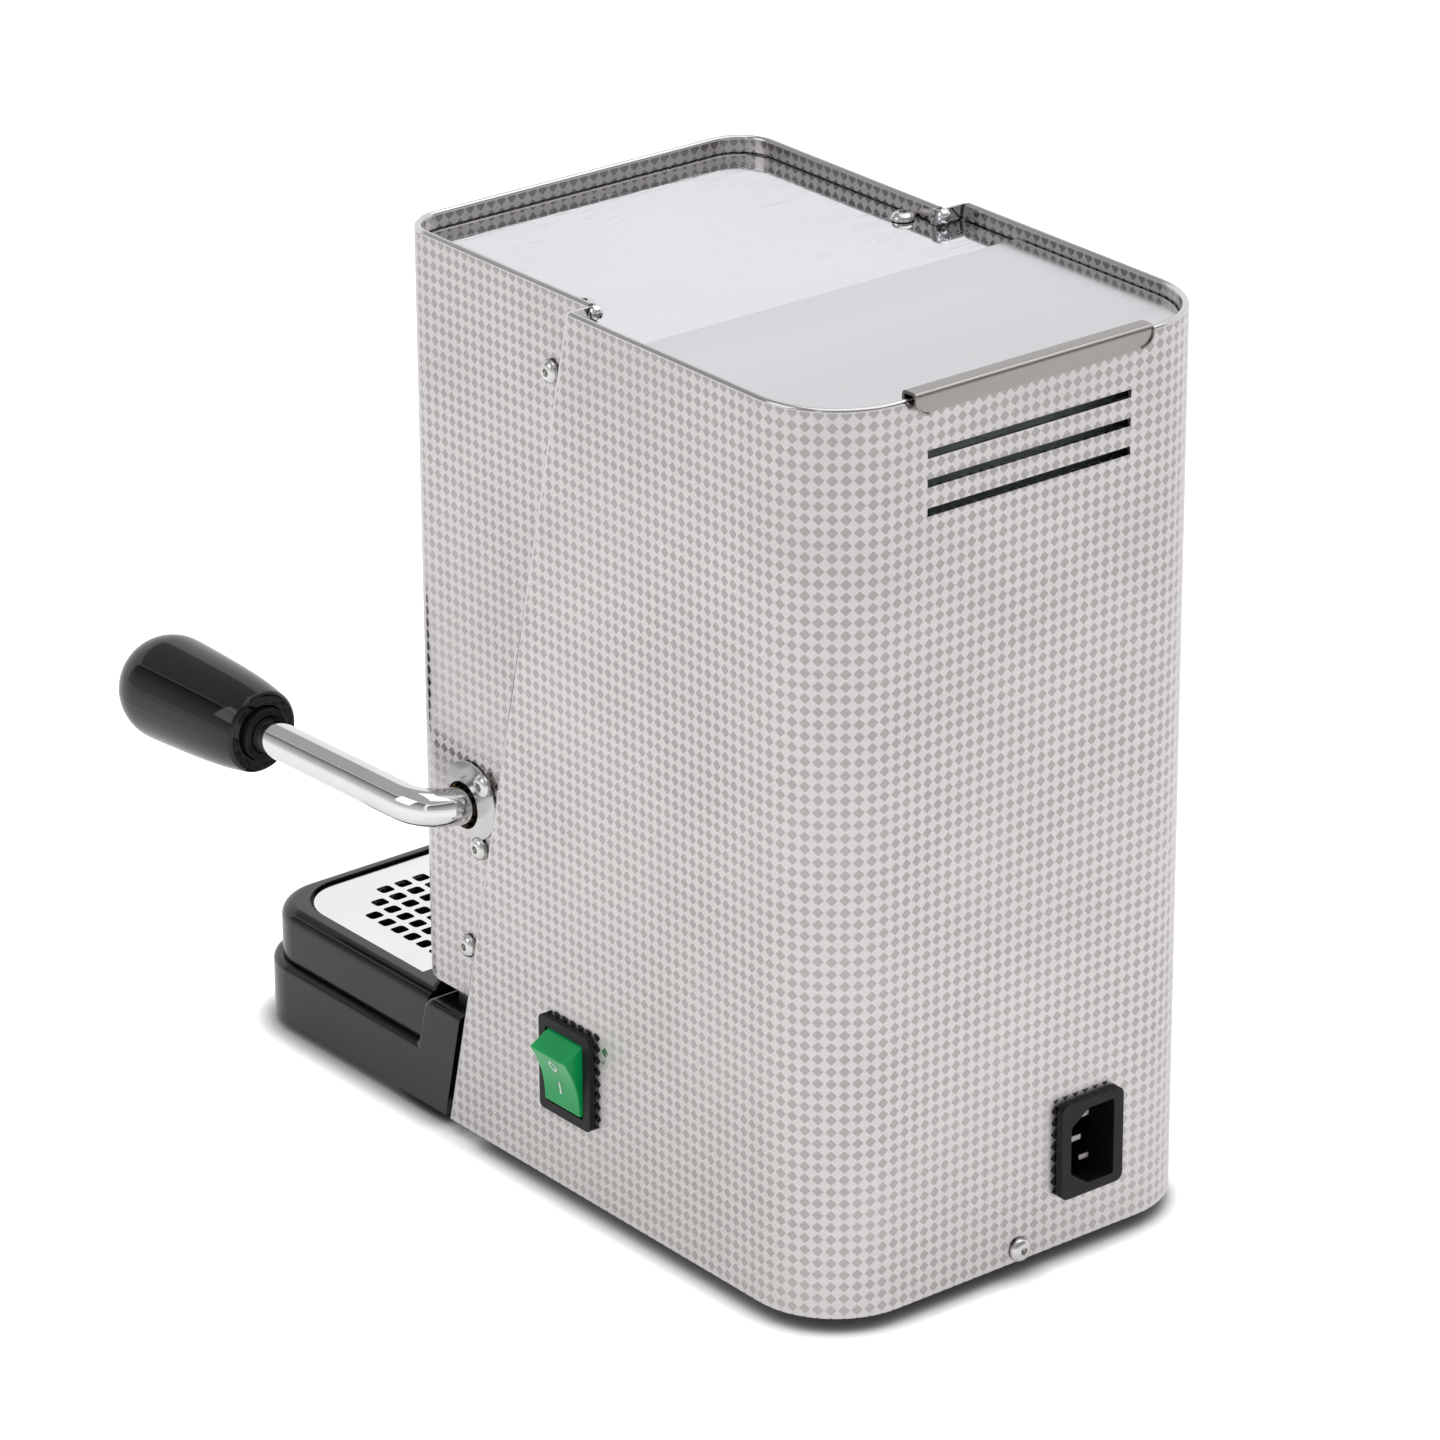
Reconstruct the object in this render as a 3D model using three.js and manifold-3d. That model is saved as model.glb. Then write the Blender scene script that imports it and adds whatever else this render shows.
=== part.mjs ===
import * as THREE from 'three';
import { mergeVertices } from 'three/addons/utils/BufferGeometryUtils.js';
import Module from 'manifold-3d';

const wasm = await Module();
wasm.setup();

// A lever espresso machine in millimetres: X to the user's right, Y to the rear, Z up.
// Heights are measured from the table and depths from the outer face of the rear panel.

// Body: two folded sheets meeting in a seam that leans back towards the rim
const rearShellWidth = 150;
const frontShellStep = 8.75;
const bodyDepth = 208.7;
const rimHeight = 286.6;
const rearShellBottom = 5;
const frontShellBottom = 43.6;
const rearCornerRadius = 28.5;
const frontCornerRadius = 14;
const sheet = 1.2;
const hemThickness = 2.3;
const seamFootSetback = 181.82;
const seamLeanDegrees = 13.03;
const seamFlangeReturn = 3.05;

// Clearances shared by the whole machine
const fit = 0.3;
const slideFit = 0.6;
const overrun = 4;

// Cup-warming deck sunk below the rim, with the tank opening behind it
const deckDepth = 5.7;
const deckThickness = 1.2;
const tankOpeningMargin = 2;

// Tank lid: a plate on the deck with a pull that hooks over the rear rim
const lidThickness = 1;
const lidFrontSetback = 89.6;
const lidRimGap = 0.7;
const lidPullMargin = 0.5;
const lidPullRise = 1.9;
const lidPullOverhang = 2.4;
const lidPullDrop = 3.9;
const lidPullCornerRadius = 7;
const lidPullBend = 1.6;

// Rear panel: vent slots and mains inlet
const ventCount = 3;
const ventMargin = 9;
const ventHeight = 2.5;
const ventPitch = 8.6;
const ventTopDrop = 18;
const inletMargin = 20.7;
const inletHeight = 36.3;
const inletFlangeWidth = 24;
const inletFlangeHeight = 31;
const inletFlangeThickness = 2.5;
const inletFlangeCorner = 2.5;
const inletBodyWidth = 20;
const inletBodyHeight = 27.4;
const inletBodyDepth = 24;
const inletSocketWidth = 16.6;
const inletSocketHeight = 24.6;
const inletSocketDepth = 18.5;
const inletSocketChamferWidth = 6.6;
const inletSocketChamferHeight = 4.7;
const inletPinWidth = 4;
const inletPinThickness = 2;
const inletPinPitch = 7;
const inletPinRecess = 3;
const inletPinTail = 7;
const inletPinSetback = 1.8;
const inletEarthOffset = 3.2;

// Power switch on the right side
const switchSetback = 118.1;
const switchHeight = 45.1;
const switchBezelDepth = 2.3;
const switchBezelWidth = 24.6;
const switchBezelHeight = 31;
const switchBezelCorner = 1.5;
const switchBezelPlate = 2;
const switchBodyWidth = 21.4;
const switchBodyHeight = 28;
const switchBodyDepth = 20;
const switchBodyFloor = 4;
const rockerWidth = 17.2;
const rockerHalfHeight = 11.8;
const rockerEdgeReach = -1.2;
const rockerRidgeReach = 6.6;
const rockerRidgeHalfSpread = 9.9;
const rockerValleyReach = 5.1;
const rockerCurveShares = [[0.33, 0.13], [0.66, 0.5]];
const rockerShoulderReach = -3;
const rockerShoulderHalfHeight = 10.5;
const rockerHeelDepth = 7.4;
const rockerHeelHalfHeight = 6;
const rockerPivotDepth = 2.8;
const rockerPivotRadius = 1.4;
const rockerPivotLength = 1.2;
const rockerTiltDegrees = 16;
const rockerClearance = 0.5;
const rockerSwing = 1.2;

// Button-head screws
const screwHeadRadius = 3.75;
const screwHeadHeight = 2.2;
const screwShankRadius = 2;
const screwSocketRadius = 1.35;
const screwSocketDepth = 1.2;
const screwLength = 5;
const smallScrewHeadRadius = 2.35;
const smallScrewHeadHeight = 2.4;
const smallScrewShankRadius = 0.9;
const smallScrewLength = 3;
const smallScrewHeadDrop = 2.4;
const smallScrewHeadInset = 1.6;
const seamScrewUpperDrop = 25.4;
const seamScrewLeverRise = 10.3;
const seamScrewMiddleDrop = 11.8;
const seamScrewLowerHeight = 61.3;
const seamScrewUpperAhead = 11.83;
const seamScrewLeverAhead = 14.36;
const seamScrewMiddleAhead = 12.94;
const seamScrewLowerAhead = 11.57;
const deckScrewInset = 6.75;
const deckScrewAhead = 9.34;
const rearScrewHeight = 9;
const screwDomeShares = [[1, 0.3], [0.7, 0.86]];

// Base: a moulded tub reaching forward under the spout
const baseSideInset = 2;
const baseReach = 290;
const baseBottom = 3.5;
const baseLedgeHeight = 22.5;
const baseRaisedHeight = 40;
const baseRaisedLength = 19;
const baseSeamGap = 3.5;
const baseCornerRadius = 21.5;
const baseWall = 5.2;
const baseFloor = 2.5;
const baseTopThickness = 2.5;
const baseFootBossRadius = 9;
const baseCrossWall = 2.5;
const baseTongueBehindLever = 30.2;

// Drip tray and its grid
const trayInset = 3;
const trayRimHeight = 40;
const trayCornerRadius = 18.5;
const trayRearGap = 1.5;
const trayRimWidth = 7.4;
const trayFrontRimWidth = 5.9;
const trayWall = 4.5;
const trayFloor = 2;
const traySeatDepth = 2.5;
const traySeatWidth = 3;
const traySeatThickness = 3;
const gridInset = 1.2;
const gridThickness = 1.2;
const gridCornerRadius = 17.5;
const gridShellGap = 0.8;
const gridPitchAcrossShare = 0.114;
const gridPitchAlongShare = 0.0952;
const gridFrontRowShare = 0.1875;
const gridHoleAcrossShare = 0.714;
const gridHoleAlongShare = 0.672;
const gridRowReaches = [5, 6, 7, 7, 7, 7, 7, 7];

// Feet
const footRadius = 8;
const footTopRadius = 6.5;
const footSideInset = 21;
const footFrontInset = 28;
const footRearReach = 32;

// Inner chassis
const chassisThickness = 1.5;
const chassisWallHeight = 11.5;
const chassisFrontSetback = 168;
const frameThickness = 1.5;
const frameBandAhead = 4;
const frameBandWidth = 18;
const frameFootAheadOfLever = 9.8;
const frameFootBehindLever = 8.2;
const frameFootWidth = 14;
const frameKneeHeight = 60;
const frameTabWidth = 12;
const frameLeverPadRadius = 15;

// Lever: shaft across the body, bent forward on the right and carrying a knob
const leverAhead = 23.37;
const leverHeight = 108;
const leverRodRadius = 5.9;
const leverBendRadius = 14;
const leverBendInset = 0.35;
const leverSplayDegrees = 3.74;
const leverRiseDegrees = 0.9;
const leverArmLength = 66.9;
const leverHoleRadius = 7.5;
const leverKnobGrip = 40;
const leverLeftInset = 2.25;
const knobLength = 62;
const knobMouthRadius = 13.25;
const knobRadius = 17;
const knobMouthChamfer = 1;
const knobSwellShares = [[0.22, 0.9], [0.45, 0.955], [0.62, 0.985]];
const knobDomeSteps = 5;
const ferruleRadius = 8.4;
const ferruleLength = 3;
const ferruleRecess = 1.4;
const escutcheonRadius = 12.5;
const escutcheonThickness = 0.6;
const escutcheonOffsetBack = 3.8;
const escutcheonOffsetUp = 2.8;
const bushRadius = 8.6;
const bushFlangeRadius = 11;
const bushFlangeThickness = 2;

// Brew group reaching out of the front, and the pod carrier that the lever lifts
const groupOverhang = 23.3;
const groupRadius = 26;
const groupBottom = 138;
const groupHeight = 30;
const groupArmWidth = 36;
const groupArmBottom = 146;
const groupArmSetback = 132;
const gasketOuterRadius = 25;
const gasketInnerRadius = 20.5;
const gasketThickness = 2.4;
const screenRadius = 18;
const screenThickness = 1.6;
const carrierRadius = 27;
const carrierHeight = 17;
const carrierSeatRadius = 21;
const carrierSeatDepth = 9;
const carrierSeatOutletRadius = 5;
const carrierArmWidth = 38;
const carrierArmThickness = 4.4;
const carrierArmBehindShaft = 6;
const carrierDrop = 10;
const spoutTopRadius = 9;
const spoutTipRadius = 6;
const spoutBoreRadius = 3.5;
const spoutHeight = 19;
const guidePinRadius = 2.5;
const guidePinHalfSpread = 13.5;
const guidePinBehindGroup = 35;
const guidePinGrip = 8;
const guidePinTail = 14;
const camLift = 18.5;
const camWidth = 12;
const camFollowerWidth = 3;
const camFollowerGap = 0.9;
const camBackDegrees = 60;
const openingHalfWidth = 34;
const openingBottom = 101;
const openingTop = 181;
const openingCorner = 8;
const collarFlangeWidth = 8;
const collarLipThickness = 3;
const collarThickness = 2.5;

// Boiler
const boilerSetback = 159;
const boilerRadius = 26;
const boilerHeight = 50;
const boilerDomeShares = [[1, 0.86], [0.92, 0.94], [0.7, 0.99]];
const thermostatRadius = 8;
const thermostatHeight = 7;
const thermostatFlangeRadius = 11;
const thermostatFlangeThickness = 1.5;

// Controls on the front face
const buttonOffset = -15;
const lampOffset = 15;
const controlDrop = 3.1;
const buttonRadius = 7;
const buttonStandOut = 4.6;
const buttonFlangeRadius = 10.5;
const buttonBarrelRadius = 8.8;
const buttonFlangeThickness = 1.6;
const buttonBarrelDepth = 17;
const buttonBarrelFloor = 2;
const buttonLength = 12;
const lampRadius = 6;
const lampStandOut = 3;
const lampBarrelRadius = 4.5;
const lampBarrelDepth = 14;

// Water tank on its shelf
const shelfTop = 147;
const shelfSideInset = 14.5;
const shelfThickness = 1.5;
const shelfFootWidth = 11;
const shelfRear = 13;
const shelfDepth = 82;
const tankShelfMargin = 3.5;
const tankRear = 15;
const tankDepth = 68;
const tankWall = 2;
const tankCornerRadius = 12;
const tankLidGap = 1.4;
const tankOutletInset = 27;
const tankOutletSetback = 53;
const tankOutletRadius = 6;
const tankOutletDrop = 12;
const seatFlangeRadius = 14;
const seatFlangeThickness = 1.5;
const seatCupRadius = 9.5;
const seatCupDepth = 17;
const seatCupFloor = 3;

// Pump held by its two necks in a folded bracket
const pumpSetback = 60;
const pumpHeight = 70;
const pumpCoilRadius = 20;
const pumpNeckLength = 17;
const pumpNeckRadius = 9;
const pumpShelfGap = 18.5;
const pumpBracketInset = 6;
const pumpBracketDepth = 32;
const pumpBracketThickness = 1.5;
const pumpBracketMargin = 6;
const hoseRadius = 4;
const pressureTubeRadius = 2.5;

// Derived places
const rearHalf = rearShellWidth / 2;
const frontHalf = rearHalf - frontShellStep;
const seamFlangeInnerHalf = frontHalf - seamFlangeReturn;
const rearFlatHalf = rearHalf - rearCornerRadius;
const frontFace = -bodyDepth;
const deckTop = rimHeight - deckDepth;
const deckBottom = deckTop - deckThickness;
const hemBottom = deckTop + fit;
const seamLean = Math.tan(THREE.MathUtils.degToRad(seamLeanDegrees));
const seamRimSetback = seamFootSetback - seamLean * rimHeight;
const cutReach = rimHeight + bodyDepth;
const ventHalf = rearFlatHalf - ventMargin;
const inletOffset = inletMargin - rearFlatHalf;
const baseHalf = rearHalf - baseSideInset;
const footHalfSpread = baseHalf - footSideInset;
const footFrontReach = baseReach - footFrontInset;
const baseFloorTop = baseBottom + baseFloor;
const chassisFloorBottom = baseFloorTop + fit;
const chassisFloorTop = chassisFloorBottom + chassisThickness;
const frameOuter = seamFlangeInnerHalf - fit;
const frameInner = frameOuter - frameThickness;
const frameTop = deckBottom - fit;
const lidBottom = deckTop + fit;
const lidTop = lidBottom + lidThickness;
const lidRear = -(hemThickness + lidRimGap);
const lidHalf = rearHalf - hemThickness - lidRimGap;
const pullTop = rimHeight + lidPullRise;
const pullBottom = rimHeight - lidPullDrop;
const leverBendStart = frontHalf - leverBendInset;
const leverLeftEnd = frontHalf - leverLeftInset;
const leverSetback = -seamY(leverHeight, leverAhead);
const frameFootFront = leverSetback + frameFootAheadOfLever;
const frameFootRear = leverSetback - frameFootBehindLever;
const baseTongueSetback = leverSetback - baseTongueBehindLever;
const leverPivot = new THREE.Vector3(0, -leverSetback, leverHeight);
const switchFace = rearHalf + switchBezelDepth;
const deckScrewHalfSpread = frontHalf - deckScrewInset;
const deckScrewSetback = -seamY(frameTop, deckScrewAhead);
const controlHeight = (openingTop + collarFlangeWidth + hemBottom) / 2 - controlDrop;
const groupY = -bodyDepth - groupOverhang;
const guidePinSetback = -groupY - guidePinBehindGroup;
const carrierTop = groupBottom - fit - gasketThickness - fit;
const carrierBottom = carrierTop - carrierHeight;
const raisedFrontAhead = baseSeamGap + baseRaisedLength;
const trayHalf = baseHalf - trayInset;
const trayFront = -baseReach + trayInset;
const trayBottom = baseLedgeHeight + fit;
const trayRearAhead = raisedFrontAhead + trayRearGap;
const gridSeatHeight = trayRimHeight - traySeatDepth;
const gridBottom = gridSeatHeight + fit;
const gridRear = frontFace - gridShellGap;
const shelfHalfWidth = rearHalf - shelfSideInset;
const tankHalfWidth = shelfHalfWidth - tankShelfMargin;
const tankOutletOffset = tankHalfWidth - tankOutletInset;
const pumpHalfLength = shelfHalfWidth - pumpShelfGap;
const pumpCoilHalfLength = pumpHalfLength - pumpNeckLength;
const pumpBracketHalfWidth = pumpHalfLength - pumpBracketInset;
const shelfBottom = shelfTop - shelfThickness;
const tankTop = lidBottom - tankLidGap;
const tankBottom = shelfTop + fit;

const rightAngle = Math.PI / 2;
const roundSides = 20;
const wideSides = 28;
const smallSides = 10;
const hiddenSides = 8;

// Depth of the seam's front edge at a height, moved ahead of it by a distance
function seamY(height, ahead = 0) {
  return seamLean * height - seamFootSetback - ahead;
}

// Solids from closed geometries, and geometries back from solids
function solidOf(geometry) {
  const bare = geometry.clone();
  bare.deleteAttribute('normal');
  bare.deleteAttribute('uv');
  const merged = mergeVertices(bare);
  const corners = merged.index.array;
  const triangles = [];
  for (let i = 0; i < corners.length; i += 3) {
    const [a, b, c] = [corners[i], corners[i + 1], corners[i + 2]];
    if (a !== b && b !== c && c !== a) triangles.push(a, b, c);
  }
  return new wasm.Manifold(new wasm.Mesh({
    numProp: 3,
    vertProperties: merged.attributes.position.array,
    triVerts: new Uint32Array(triangles),
  }));
}

function geometryOf(solid) {
  const mesh = solid.getMesh();
  const geometry = new THREE.BufferGeometry();
  geometry.setAttribute('position', new THREE.BufferAttribute(mesh.vertProperties, 3));
  geometry.setIndex(new THREE.BufferAttribute(mesh.triVerts, 1));
  geometry.computeVertexNormals();
  return geometry;
}

function joined(...solids) {
  return solids.reduce((whole, next) => whole.add(next));
}

function cut(solid, ...tools) {
  return tools.reduce((rest, tool) => rest.subtract(tool), solid);
}

// Closed outline through [u, v, radius] corners, each rounded where it has a radius
function outline(corners) {
  const shape = new THREE.Shape();
  corners.forEach(([u, v, radius = 0], index) => {
    const corner = new THREE.Vector2(u, v);
    const before = corners.at(index - 1);
    const after = corners[(index + 1) % corners.length];
    if (radius <= 0) {
      if (index === 0) shape.moveTo(u, v);
      else shape.lineTo(u, v);
      return;
    }
    const toBefore = new THREE.Vector2(before[0], before[1]).sub(corner).normalize();
    const toAfter = new THREE.Vector2(after[0], after[1]).sub(corner).normalize();
    const halfAngle = Math.acos(toBefore.dot(toAfter)) / 2;
    const tangentReach = radius / Math.tan(halfAngle);
    const start = corner.clone().addScaledVector(toBefore, tangentReach);
    const end = corner.clone().addScaledVector(toAfter, tangentReach);
    const bisector = toBefore.clone().add(toAfter).normalize();
    const centre = corner.clone().addScaledVector(bisector, radius / Math.sin(halfAngle));
    const startAngle = Math.atan2(start.y - centre.y, start.x - centre.x);
    const endAngle = Math.atan2(end.y - centre.y, end.x - centre.x);
    const clockwise = toBefore.cross(toAfter) > 0;
    if (index === 0) shape.moveTo(start.x, start.y);
    shape.absarc(centre.x, centre.y, radius, startAngle, endAngle, clockwise);
  });
  shape.closePath();
  return shape;
}

function rectangle(u0, u1, v0, v1, radius = 0) {
  return outline([[u0, v0, radius], [u1, v0, radius], [u1, v1, radius], [u0, v1, radius]]);
}

// Plan outline raised between two heights
function slab(shape, low, high, curveSegments = 4) {
  const geometry = new THREE.ExtrudeGeometry(shape, { depth: high - low, bevelEnabled: false, curveSegments });
  return solidOf(geometry.translate(0, 0, low));
}

// Outline of depth and height, carried across from one X to another
function sideSlab(shape, left, right, curveSegments = 4) {
  const geometry = new THREE.ExtrudeGeometry(shape, { depth: right - left, bevelEnabled: false, curveSegments });
  const axes = new THREE.Matrix4().makeBasis(
    new THREE.Vector3(0, 1, 0), new THREE.Vector3(0, 0, 1), new THREE.Vector3(1, 0, 0));
  return solidOf(geometry.applyMatrix4(axes).translate(left, 0, 0));
}

// Outline of width and height, carried forward from one Y to another
function frontSlab(shape, rear, front, curveSegments = 4) {
  const geometry = new THREE.ExtrudeGeometry(shape, { depth: rear - front, bevelEnabled: false, curveSegments });
  const axes = new THREE.Matrix4().makeBasis(
    new THREE.Vector3(1, 0, 0), new THREE.Vector3(0, 0, 1), new THREE.Vector3(0, -1, 0));
  return solidOf(geometry.applyMatrix4(axes).translate(0, rear, 0));
}

function block(x0, x1, y0, y1, z0, z1) {
  return slab(rectangle(x0, x1, y0, y1), z0, z1);
}

// Profile of [radius, distance] turned about an axis through a point
function turned(profile, axis, centre, sides = roundSides) {
  const points = profile.map(([radius, distance]) => new THREE.Vector2(radius, distance));
  const geometry = new THREE.LatheGeometry(points, sides);
  if (axis === 'z') geometry.rotateX(rightAngle);
  if (axis === 'x') geometry.rotateZ(-rightAngle);
  return solidOf(geometry.translate(...centre));
}

function drum(radius, from, to, axis, centre, sides = roundSides) {
  return turned([[0, from], [radius, from], [radius, to], [0, to]], axis, centre, sides);
}

function ring(outerRadius, innerRadius, from, to, axis, centre, sides = roundSides) {
  return cut(
    drum(outerRadius, from, to, axis, centre, sides),
    drum(innerRadius, from - overrun, to + overrun, axis, centre, sides));
}

function sweptTube(points, radius, steps, sides = 4) {
  const section = new THREE.Shape().absarc(0, 0, radius, 0, 2 * Math.PI, false);
  const path = new THREE.CatmullRomCurve3(points.map((point) => new THREE.Vector3(...point)));
  const options = { steps, extrudePath: path, bevelEnabled: false, curveSegments: sides };
  return solidOf(new THREE.ExtrudeGeometry(section, options));
}

function mirrored(solid) {
  return solid.mirror([1, 0, 0]);
}

// Everything in front of, or behind, a plane parallel to the seam
function aheadOfSeam(ahead) {
  const [low, high] = [-overrun, rimHeight + overrun];
  const shape = outline([
    [seamY(low, ahead), low], [seamY(high, ahead), high], [-cutReach, high], [-cutReach, low]]);
  return sideSlab(shape, -cutReach, cutReach);
}

function behindSeam(ahead) {
  const [low, high] = [-overrun, rimHeight + overrun];
  const shape = outline([
    [seamY(low, ahead), low], [seamY(high, ahead), high], [cutReach, high], [cutReach, low]]);
  return sideSlab(shape, -cutReach, cutReach);
}

// Strip of sheet along the seam, from one half-width out to another, on both sides
function seamFlanges(innerHalf, outerHalf, nearAhead, farAhead, low, high) {
  const shape = outline([
    [seamY(low, nearAhead), low], [seamY(high, nearAhead), high],
    [seamY(high, farAhead), high], [seamY(low, farAhead), low]]);
  const right = sideSlab(shape, innerHalf, outerHalf);
  return joined(right, mirrored(right));
}

const machine = new THREE.Group();

function finish(color, roughness, metalness, extra = {}) {
  return new THREE.MeshStandardMaterial({ color, roughness, metalness, ...extra });
}

const finishes = {
  checkeredSteel: finish('#cdc9c8', 0.35, 1),
  mirrorSteel: finish('#dcdce0', 0.08, 1),
  satinSteel: finish('#b9b8bb', 0.38, 1),
  polishedSteel: finish('#d4d4d6', 0.12, 1),
  galvanisedSteel: finish('#9ea3a6', 0.45, 0.9),
  brass: finish('#b08d4a', 0.35, 1),
  copper: finish('#b87350', 0.3, 1),
  blackGloss: finish('#0c0c0d', 0.12, 0),
  blackPlastic: finish('#17171a', 0.35, 0),
  blackRubber: finish('#1b1b1c', 0.8, 0),
  rubberRed: finish('#8a2a22', 0.7, 0),
  greenLens: finish('#17924f', 0.2, 0, { transparent: true, opacity: 0.9 }),
  amberLens: finish('#d9772b', 0.2, 0),
  tankPlastic: finish('#c9d3d6', 0.25, 0, { transparent: true, opacity: 0.6 }),
  hosePlastic: finish('#d8d8d2', 0.45, 0),
};

function place(name, solid, material, parent = machine) {
  const mesh = new THREE.Mesh(geometryOf(solid), material);
  mesh.name = name;
  parent.add(mesh);
  return mesh;
}

// Round-headed screw with a hexagon socket, its head on +Z and its seat at zero
function screw(headRadius, headHeight, shankRadius, length) {
  const dome = screwDomeShares.map(([radiusShare, heightShare]) => (
    [radiusShare * headRadius, heightShare * headHeight]));
  const profile = [[0, -length], [shankRadius, -length], [shankRadius, 0], [headRadius, 0], ...dome, [0, headHeight]];
  const socket = drum(screwSocketRadius, headHeight - screwSocketDepth, headHeight + overrun, 'z', [0, 0, 0], 6);
  return cut(turned(profile, 'z', [0, 0, 0], smallSides), socket);
}

function placeScrew(name, solid, position, rotation) {
  const mesh = place(name, solid, finishes.polishedSteel);
  mesh.position.set(...position);
  mesh.rotation.set(...rotation);
}

const machineScrew = screw(screwHeadRadius, screwHeadHeight, screwShankRadius, screwLength);
const smallScrew = screw(smallScrewHeadRadius, smallScrewHeadHeight, smallScrewShankRadius, smallScrewLength);
const screwHole = screwShankRadius + fit;
const smallScrewHole = smallScrewShankRadius + fit;

const seamScrewMiddleHeight = leverHeight - seamScrewMiddleDrop;
const seamScrewMiddleSetback = -seamY(seamScrewMiddleHeight, seamScrewMiddleAhead);
const seamScrews = [
  { label: 'upper', height: rimHeight - seamScrewUpperDrop, ahead: seamScrewUpperAhead },
  { label: 'lever', height: leverHeight + seamScrewLeverRise, ahead: seamScrewLeverAhead },
  { label: 'middle', height: seamScrewMiddleHeight, ahead: seamScrewMiddleAhead },
  { label: 'lower', height: seamScrewLowerHeight, ahead: seamScrewLowerAhead },
];

function seamScrewHoles() {
  return seamScrews.map(({ height, ahead }) => (
    drum(screwHole, -cutReach, cutReach, 'x', [0, seamY(height, ahead), height], hiddenSides)));
}

// The rim screws stand square to the leaning seam flange
const rimScrewTilt = THREE.MathUtils.degToRad(seamLeanDegrees) + rightAngle;
const rimScrewX = seamFlangeInnerHalf + smallScrewHeadInset;
const rimScrewHeight = rimHeight - smallScrewHeadDrop;
const rimScrewY = seamY(rimScrewHeight) + sheet + fit / Math.cos(THREE.MathUtils.degToRad(seamLeanDegrees));

function rimScrewHoles() {
  const hole = drum(smallScrewHole, -smallScrewLength - overrun, overrun, 'z', [0, 0, 0], hiddenSides)
    .rotate([-THREE.MathUtils.radToDeg(rimScrewTilt), 0, 0]);
  return [-rimScrewX, rimScrewX].map((x) => hole.translate([x, rimScrewY, rimScrewHeight]));
}

function shellSkin(half, front, frontRadius, rearRadius, inset, low, high) {
  const plan = outline([
    [inset - half, front, frontRadius], [half - inset, front, frontRadius],
    [half - inset, -inset, rearRadius], [inset - half, -inset, rearRadius]]);
  return slab(plan, low, high);
}

function buildRearShell() {
  const skin = (inset, low, high) => (
    shellSkin(rearHalf, frontFace, 0, rearCornerRadius - inset, inset, low, high));
  const walls = cut(
    skin(0, rearShellBottom, rimHeight), skin(sheet, rearShellBottom - overrun, rimHeight + overrun));
  const hem = cut(
    skin(sheet / 2, hemBottom, rimHeight), skin(hemThickness, hemBottom - overrun, rimHeight + overrun));
  const flanges = seamFlanges(
    seamFlangeInnerHalf, rearHalf - sheet / 2, 0, -sheet, rearShellBottom, rimHeight);
  const vents = Array.from({ length: ventCount }, (_, index) => {
    const middle = rimHeight - ventTopDrop - index * ventPitch;
    return block(-ventHalf, ventHalf, -sheet - overrun, overrun,
      middle - ventHeight / 2, middle + ventHeight / 2);
  });
  const inletHole = block(
    inletOffset - inletBodyWidth / 2 - fit, inletOffset + inletBodyWidth / 2 + fit, -sheet - overrun, overrun,
    inletHeight - inletBodyHeight / 2 - fit, inletHeight + inletBodyHeight / 2 + fit);
  const switchHole = block(
    rearHalf - sheet - overrun, rearHalf + overrun,
    -switchSetback - switchBodyWidth / 2 - fit, -switchSetback + switchBodyWidth / 2 + fit,
    switchHeight - switchBodyHeight / 2 - fit, switchHeight + switchBodyHeight / 2 + fit);
  const rearScrewHole = drum(
    screwHole, -sheet - overrun, overrun, 'y', [0, 0, rearScrewHeight], hiddenSides);
  const folded = joined(cut(joined(walls, hem), aheadOfSeam(0)), flanges);
  place('rear_shell', cut(folded, ...vents, inletHole, switchHole, rearScrewHole, ...rimScrewHoles()),
    finishes.checkeredSteel);
}

function buildFrontShell() {
  const skin = (inset, low, high) => slab(outline([
    [inset - frontHalf, frontFace + inset, frontCornerRadius - inset],
    [frontHalf - inset, frontFace + inset, frontCornerRadius - inset],
    [frontHalf - inset, 0], [inset - frontHalf, 0]]), low, high, 3);
  const walls = cut(
    skin(0, frontShellBottom, rimHeight), skin(sheet, frontShellBottom - overrun, rimHeight + overrun));
  const hem = cut(
    skin(sheet / 2, hemBottom, rimHeight), skin(hemThickness, hemBottom - overrun, rimHeight + overrun));
  const flanges = seamFlanges(
    seamFlangeInnerHalf, frontHalf - sheet / 2, fit, fit + sheet, frontShellBottom, rimHeight);
  const leverHole = drum(leverHoleRadius, frontHalf - overrun, frontHalf + overrun, 'x',
    [0, -leverSetback, leverHeight]);
  const window = frontSlab(
    rectangle(-openingHalfWidth, openingHalfWidth, openingBottom, openingTop, openingCorner),
    frontFace + overrun, frontFace - overrun);
  const controlHoles = [[buttonOffset, buttonBarrelRadius + fit], [lampOffset, lampBarrelRadius + fit]].map(
    ([offset, radius]) => drum(radius, frontFace - overrun, frontFace + overrun, 'y', [offset, 0, controlHeight]));
  const folded = joined(cut(joined(walls, hem), behindSeam(fit)), flanges);
  place('front_shell',
    cut(folded, leverHole, window, ...controlHoles, ...seamScrewHoles(), ...rimScrewHoles()),
    finishes.checkeredSteel);
}

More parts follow.
